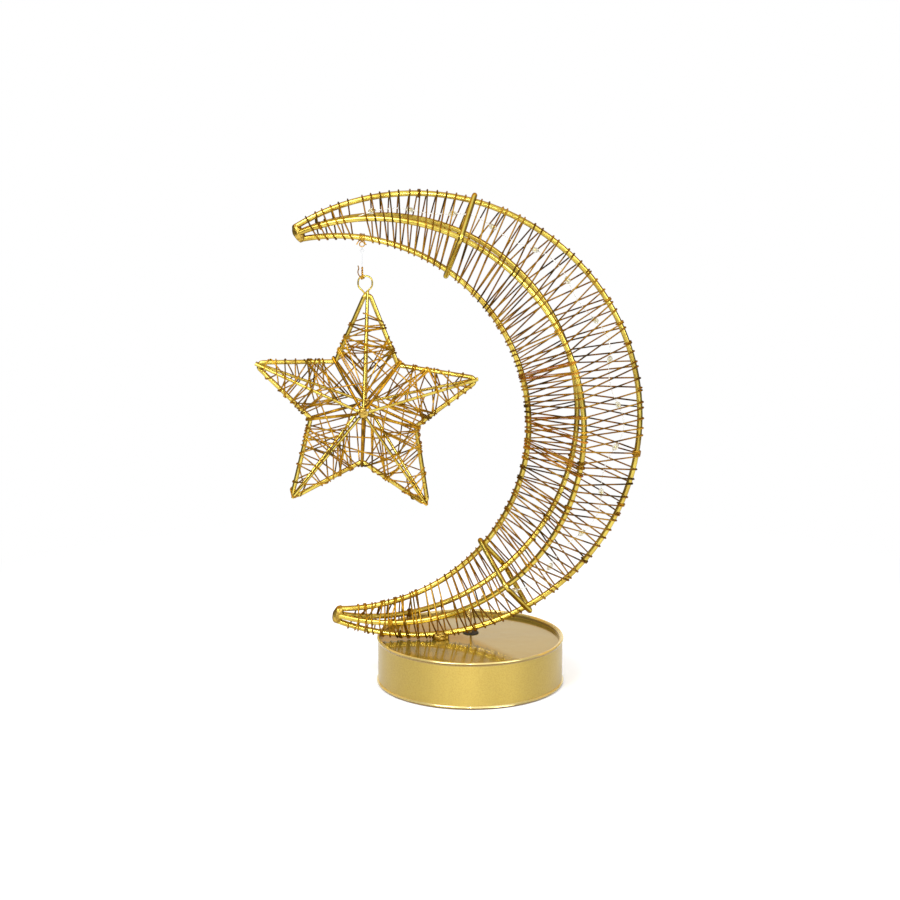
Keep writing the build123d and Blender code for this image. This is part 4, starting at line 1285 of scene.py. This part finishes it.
@dataclass(frozen=True)
class Star:
    """Hanging star: wire on its five arms, webs over both faces and the apex welds, in millimetres."""

    centre: tuple[float, float, float] = (-56.7063, 0.0, 151.5434)
    tip_r: float = 63.7
    corner_r: float = 29.2
    turn_deg: float = 3.5
    depth: float = 17.0
    arm_off: tuple[float, ...] = (-1.5, 0.2, 0.4, -0.9, 1.0)
    corner_off: tuple[float, ...] = (-1.3, -1.2, -0.7, 3.3, 1.4)
    outline_mm: float = 2.4
    ridge_mm: float = 1.6
    tip_bend: float = 2.2
    ridge_clear: float = 0.15
    wire_mm: float = 0.78
    wire_clear: float = 0.05
    first: tuple[float, ...] = (0.34, 0.13, 0.1, 0.1, 0.11)
    last: float = 0.9
    corner_share: float = 0.94
    inner_reach: float = 7.0
    loops_down: int = 6
    loops_fan: int = 5
    loops_back: int = 2
    fan_first: float = 0.6
    uneven: float = 0.09
    web_loops: int = 2
    web_outer: float = 33.0
    web_inner: float = 5.0
    web_uneven: float = 6.0
    arm_tail: float = 1.2
    web_tail: float = 1.5
    apex_mm: tuple[float, float, float] = (3.0, 2.0, 3.0)
    apex_lump: float = 0.3
    apex_sink: float = 0.85
    arm_deg: float = 72.0
    tip_slack: float = 0.03
    arm_seed: int = 900
    web_seed: int = 50
    apex_seed: int = 21

    def middle(self) -> Vector:
        """Middle of the star."""
        return Vector(self.centre)

    def spot(self, deg: float, radius: float) -> Vector:
        """Point of the star's plane, clockwise from straight up."""
        angle = math.radians(deg + self.turn_deg)
        return self.middle() + Vector((math.sin(angle), 0, math.cos(angle))) * radius

    def tip(self, arm: int) -> Vector:
        """Sharp corner at the tip of an arm."""
        return self.spot(self.arm_deg * arm + self.arm_off[arm % 5], self.tip_r)

    def corner(self, arm: int) -> Vector:
        """Inner corner clockwise of an arm."""
        return self.spot(self.arm_deg * (arm + 0.5) + self.corner_off[arm % 5], self.corner_r)

    def wound_r(self, rod_mm: float) -> float:
        """Radius at which the middle of the wire passes a rod."""
        return rod_mm / 2 + self.wire_clear + self.wire_mm / 2

    def ridge(self, arm: int, side: Side, reach: float) -> Vector:
        """Point on the centre line of an arm's ridge rod.

        Args:
            arm: Number of the arm.
            side: Face of the star.
            reach: Distance from the star's axis.

        Returns:
            The point.
        """
        left = (self.corner(arm - 1) - self.tip(arm)).normalized()
        right = (self.corner(arm) - self.tip(arm)).normalized()
        half = left.angle(right) / 2
        seat = self.tip(arm) + (left + right).normalized() * self.tip_bend * (1 / math.sin(half) - 1)
        apex = self.middle() + Vector((0, side.value * self.depth, 0))
        flat = (seat - self.middle()).length
        slope = math.atan2(self.depth, flat)
        lift = (self.outline_mm / 2 + self.ridge_clear + self.ridge_mm / 2) / math.cos(slope)
        over = seat + Vector((0, side.value * lift, 0))
        return apex + (over - apex) * reach / flat

    def arm_stop(self, arm: int, place: int, share: float, sink: float) -> Stop:
        """Rod that a turn round an arm passes.

        Args:
            arm: Number of the arm.
            place: 0 left edge, 1 front ridge, 2 right edge, 3 back ridge.
            share: Share of the way from the tip to the inner corners.
            sink: Share of the way that a turn slips down a ridge towards the apex.

        Returns:
            The stop.
        """
        tip = self.tip(arm)
        left = tip + (self.corner(arm - 1) - tip) * share
        right = tip + (self.corner(arm) - tip) * share
        outward = (tip - self.middle()).normalized()
        if place in (0, 2):
            edge = left if place == 0 else right
            return Stop(edge, self.wound_r(self.outline_mm), (edge - tip).normalized())
        reach = ((left + right) / 2 - self.middle()).dot(outward)
        reach += (self.inner_reach - reach) * sink
        spot = self.ridge(arm, Side.FRONT if place == 1 else Side.BACK, reach)
        return Stop(spot, self.wound_r(self.ridge_mm), -outward)

    def even_lay(self, start: float, end: float, loops: int) -> list[tuple[float, float]]:
        """Share of each corner along an arm for evenly spaced loops, without sink."""
        count = 4 * loops
        return [(start + (end - start) * i / count, 0.0) for i in range(count)]

    def arm_lay(self, arm: int) -> list[tuple[float, float]]:
        """Lays the wire down an arm, in fans from the inner corners, and back.

        Args:
            arm: Number of the arm.

        Returns:
            Share and sink of each corner, as arm_stop takes them.
        """
        draw = random.Random(self.arm_seed + arm)
        first = self.first[arm]
        down = self.even_lay(first, self.last, self.loops_down)
        fan = [(draw.uniform(self.fan_first, self.corner_share), math.sqrt(draw.random()))
               for _ in range(4 * self.loops_fan)]
        back = self.even_lay(self.last, first, self.loops_back)
        lay = []
        for share, sink in down + fan + back:
            share += draw.uniform(-self.uneven, self.uneven)
            lay.append((max(first - self.tip_slack, min(self.corner_share, share)), sink))
        return lay

    def arm_wire(self, arm: int, dresser: Dresser) -> None:
        """Wire wound down an arm, fanned over the body and wound back.

        Args:
            arm: Number of the arm.
            dresser: Puts on the finish.
        """
        stops = [self.arm_stop(arm, i % 4, *place) for i, place in enumerate(self.arm_lay(arm))]
        path = TautWire(stops, self.wire_mm).points(self.arm_tail)
        obj = wire_piece(f"star_wire_{arm + 1}", [path], self.wire_mm)
        dresser.piece(obj, STAR_WIRE, "star", f"star_winding_{arm + 1}")

    def web(self, side: Side, dresser: Dresser) -> None:
        """Wire that spirals over the five ridges of one face.

        Args:
            side: Face of the star.
            dresser: Puts on the finish.
        """
        draw = random.Random(self.web_seed + side.value)
        count = 5 * self.web_loops
        radius = self.wound_r(self.ridge_mm)
        stops = []
        for i in range(-1, count + 2):
            reach = self.inner_reach + (self.web_outer - self.inner_reach) * i / count
            reach += draw.uniform(-self.web_uneven, self.web_uneven)
            arm = (i * side.value) % 5
            outward = (self.tip(arm) - self.middle()).normalized()
            stops.append(Stop(self.ridge(arm, side, max(self.web_inner, reach)), radius, outward))
        path = TautWire(stops, self.wire_mm).points(self.web_tail)
        obj = wire_piece(f"{side.name.lower()}_web", [path], self.wire_mm)
        dresser.piece(obj, STAR_WIRE, "star")

    def apex(self, side: Side, dresser: Dresser) -> None:
        """Lumpy weld where the rods of one face meet.

        Args:
            side: Face of the star.
            dresser: Puts on the finish.
        """
        face = side.name.lower()
        out = Vector((0, side.value * (self.depth - self.apex_sink), 0))
        place = Matrix.Translation(self.middle() + out)
        seed = self.apex_seed + side.value
        obj = weld_bead(f"{face}_apex_bead", place, self.apex_mm, self.apex_lump, seed)
        dresser.piece(obj, GOLD_WELD, "star", f"{face}_apex_weld")

    def build(self, dresser: Dresser) -> None:
        """Makes the star's wire and welds.

        Args:
            dresser: Puts on the finish.
        """
        for arm in range(5):
            self.arm_wire(arm, dresser)
        for side in Side:
            self.web(side, dresser)
            self.apex(side, dresser)


# Studio

@dataclass(frozen=True)
class SoftLamp:
    """A softbox that faces the ornament."""

    name: str
    place: tuple[float, float, float]
    size: tuple[float, float]
    watts: float
    aim: tuple[float, float, float] = (-0.01, 0.0, 0.13)

    def build(self) -> None:
        """Puts the softbox in the scene."""
        data = bpy.data.lights.new(self.name, "AREA")
        data.shape = "RECTANGLE"
        data.size, data.size_y = self.size
        data.energy = self.watts
        lamp = bpy.data.objects.new(self.name, data)
        lamp.location = self.place
        way = Vector(self.aim) - Vector(self.place)
        lamp.rotation_euler = way.to_track_quat("-Z", "Y").to_euler()
        bpy.context.scene.collection.objects.link(lamp)


@dataclass(frozen=True)
class Studio:
    """Pale floor, white surround, softboxes and the camera."""

    floor_m: float = 0.5
    floor_segments: int = 96
    floor_drop_m: float = 0.0002
    floor_colour: str = "#F4F4F4"
    floor_glow: float = 0.22
    fade_m: tuple[float, float] = (0.12, 0.4)
    world_fill: float = 0.75
    white_level: float = 1.05
    flag_level: float = 0.16
    flag_edge: tuple[float, float] = (0.36, 0.68)
    card_colour: str = "#EDB42C"
    card_low: tuple[float, float] = (0.29, 0.33)
    card_near: tuple[float, float] = (0.1, 0.4)
    camera_place: tuple[float, float, float] = (-0.01105, -1.0458, 0.3449)
    camera_tilt_deg: float = 78.31
    lens_mm: float = 79.756
    sensor_mm: float = 36.0
    lamps: tuple[SoftLamp, ...] = (
        SoftLamp("key_softbox", (-0.55, -0.75, 0.95), (0.5, 0.5), 9.0),
        SoftLamp("fill_softbox", (0.8, -0.7, 0.6), (0.5, 0.7), 5.0),
        SoftLamp("strip_softbox", (0.0, -1.3, 0.5), (0.05, 0.6), 4.0),
    )

    def seen(self, tree: Tree, rays: Node) -> Node:
        """1 for rays that come straight or through clear pieces from the camera."""
        return add_node(tree, "Math", {
            0: rays.outputs["Is Camera Ray"], 1: rays.outputs["Is Transmission Ray"]}, operation="MAXIMUM")

    def world(self) -> None:
        """White surround that lights softly; metal also mirrors dark side flags and a gold card behind."""
        world = bpy.data.worlds.new("white_surround")
        bpy.context.scene.world = world
        world.use_nodes = True
        tree = world.node_tree
        way = add_node(tree, "SeparateXYZ", {0: add_node(tree, "TexCoord").outputs["Generated"]}).outputs
        aside = add_node(tree, "Math", {0: way["X"]}, operation="ABSOLUTE")
        flags = add_node(tree, "MapRange", {
            "Value": aside, **span("From", self.flag_edge)}, interpolation_type="SMOOTHSTEP")
        high = add_node(tree, "MapRange", {"Value": way["Z"], **span("From", self.card_low)})
        behind = add_node(tree, "MapRange", {"Value": way["Y"], **span("From", self.card_near)})
        card = add_node(tree, "Math", {0: high, 1: behind}, operation="MULTIPLY")
        grey = add_node(tree, "MapRange", {
            "Value": flags, **span("To", (self.white_level, self.flag_level))})
        mirrored = add_node(tree, "Mix", {0: card, 6: grey, 7: linear(self.card_colour)}, data_type="RGBA")
        rays = add_node(tree, "LightPath")
        fill = (self.world_fill, self.world_fill, self.world_fill, 1.0)
        unseen = add_node(tree, "Mix", {
            0: rays.outputs["Is Glossy Ray"], 6: fill, 7: mirrored}, data_type="RGBA")
        level = add_node(tree, "Mix", {
            0: self.seen(tree, rays), 6: unseen, 7: (1.0, 1.0, 1.0, 1.0)}, data_type="RGBA")
        feed(tree, tree.nodes["Background"], {"Color": level})

    def paper(self) -> bpy.types.Material:
        """Pale paper that shows the shadow near the ornament and fades to white away from it.

        Returns:
            The floor's material.
        """
        material = bpy.data.materials.new("pale_paper_floor")
        material.use_nodes = True
        tree = material.node_tree
        tree.nodes.clear()
        clear = self.seen(tree, add_node(tree, "LightPath"))
        sheet = add_node(tree, "BsdfDiffuse", {"Color": linear(self.floor_colour)})
        glow = add_node(tree, "Math", {0: clear, 1: self.floor_glow}, operation="MULTIPLY")
        light = add_node(tree, "Emission", {"Strength": glow})
        near = add_node(tree, "AddShader", {0: sheet, 1: light})
        coords = add_node(tree, "TexCoord").outputs["Object"]
        distance = add_node(tree, "VectorMath", {0: coords}, operation="LENGTH")
        fade = add_node(tree, "MapRange", {
            "Value": distance, **span("From", self.fade_m)}, interpolation_type="SMOOTHSTEP")
        share = add_node(tree, "Math", {0: fade, 1: clear}, operation="MULTIPLY")
        far = add_node(tree, "Emission", {"Strength": 1.0})
        both = add_node(tree, "MixShader", {0: share, 1: near, 2: far})
        add_node(tree, "OutputMaterial", {"Surface": both})
        return material

    def floor(self) -> None:
        """Round pale floor under the ornament."""
        disc = bmesh.new()
        bmesh.ops.create_circle(disc, cap_ends=True, segments=self.floor_segments, radius=self.floor_m)
        bmesh.ops.translate(disc, vec=(0, 0, -self.floor_drop_m), verts=disc.verts)
        floor = place_form("studio_floor", disc, smooth=False)
        floor.data.materials.append(self.paper())

    def camera(self) -> None:
        """Camera at the photograph's place."""
        data = bpy.data.cameras.new("photo_camera")
        data.sensor_fit = "HORIZONTAL"
        data.sensor_width = self.sensor_mm
        data.lens = self.lens_mm
        camera = bpy.data.objects.new("photo_camera", data)
        camera.location = self.camera_place
        camera.rotation_euler = (math.radians(self.camera_tilt_deg), 0, 0)
        bpy.context.scene.collection.objects.link(camera)
        bpy.context.scene.camera = camera

    def build(self) -> None:
        """Sets the view, the light, the floor and the camera."""
        bpy.context.scene.view_settings.view_transform = "Standard"
        self.world()
        self.floor()
        self.camera()
        for lamp in self.lamps:
            lamp.build()


WINDINGS = (
    CageWinding(1, 113.0, 101.6, Lay.NEAT),
    CageWinding(2, 97.8, 72.4, Lay.NEAT),
    CageWinding(3, 68.4, 38.0, Lay.LOOSE, 0.7),
    CageWinding(4, 37.4, 7.5, Lay.LOOSE, 0.8),
    CageWinding(5, 6.9, -23.0, Lay.LOOSE, 0.5),
    CageWinding(6, -23.5, -53.4, Lay.LOOSE, 0.3),
    CageWinding(7, -57.4, -73.9, Lay.NEAT),
    CageWinding(8, -82.1, -102.6, Lay.NEAT, finish=STAR_WIRE),
    CageWinding(9, -75.0, -81.2, Lay.NEAT, in_cad=False),
    CageWinding(10, -84.0, -100.0, Lay.LOOSE, 0.2, 3.2, in_cad=False, finish=STAR_WIRE),
)


def main() -> None:
    """Builds every sub-assembly in order."""
    logging.basicConfig(level=logging.INFO)
    dresser = Dresser()
    Studio().build()
    LightString().build(dresser)
    for winding in WINDINGS:
        winding.build(dresser)
    CageTies().build(dresser)
    CrescentWelds().build(dresser)
    Hanger().build(dresser)
    Star().build(dresser)
    dresser.carried()


if __name__ == "__main__":
    main()
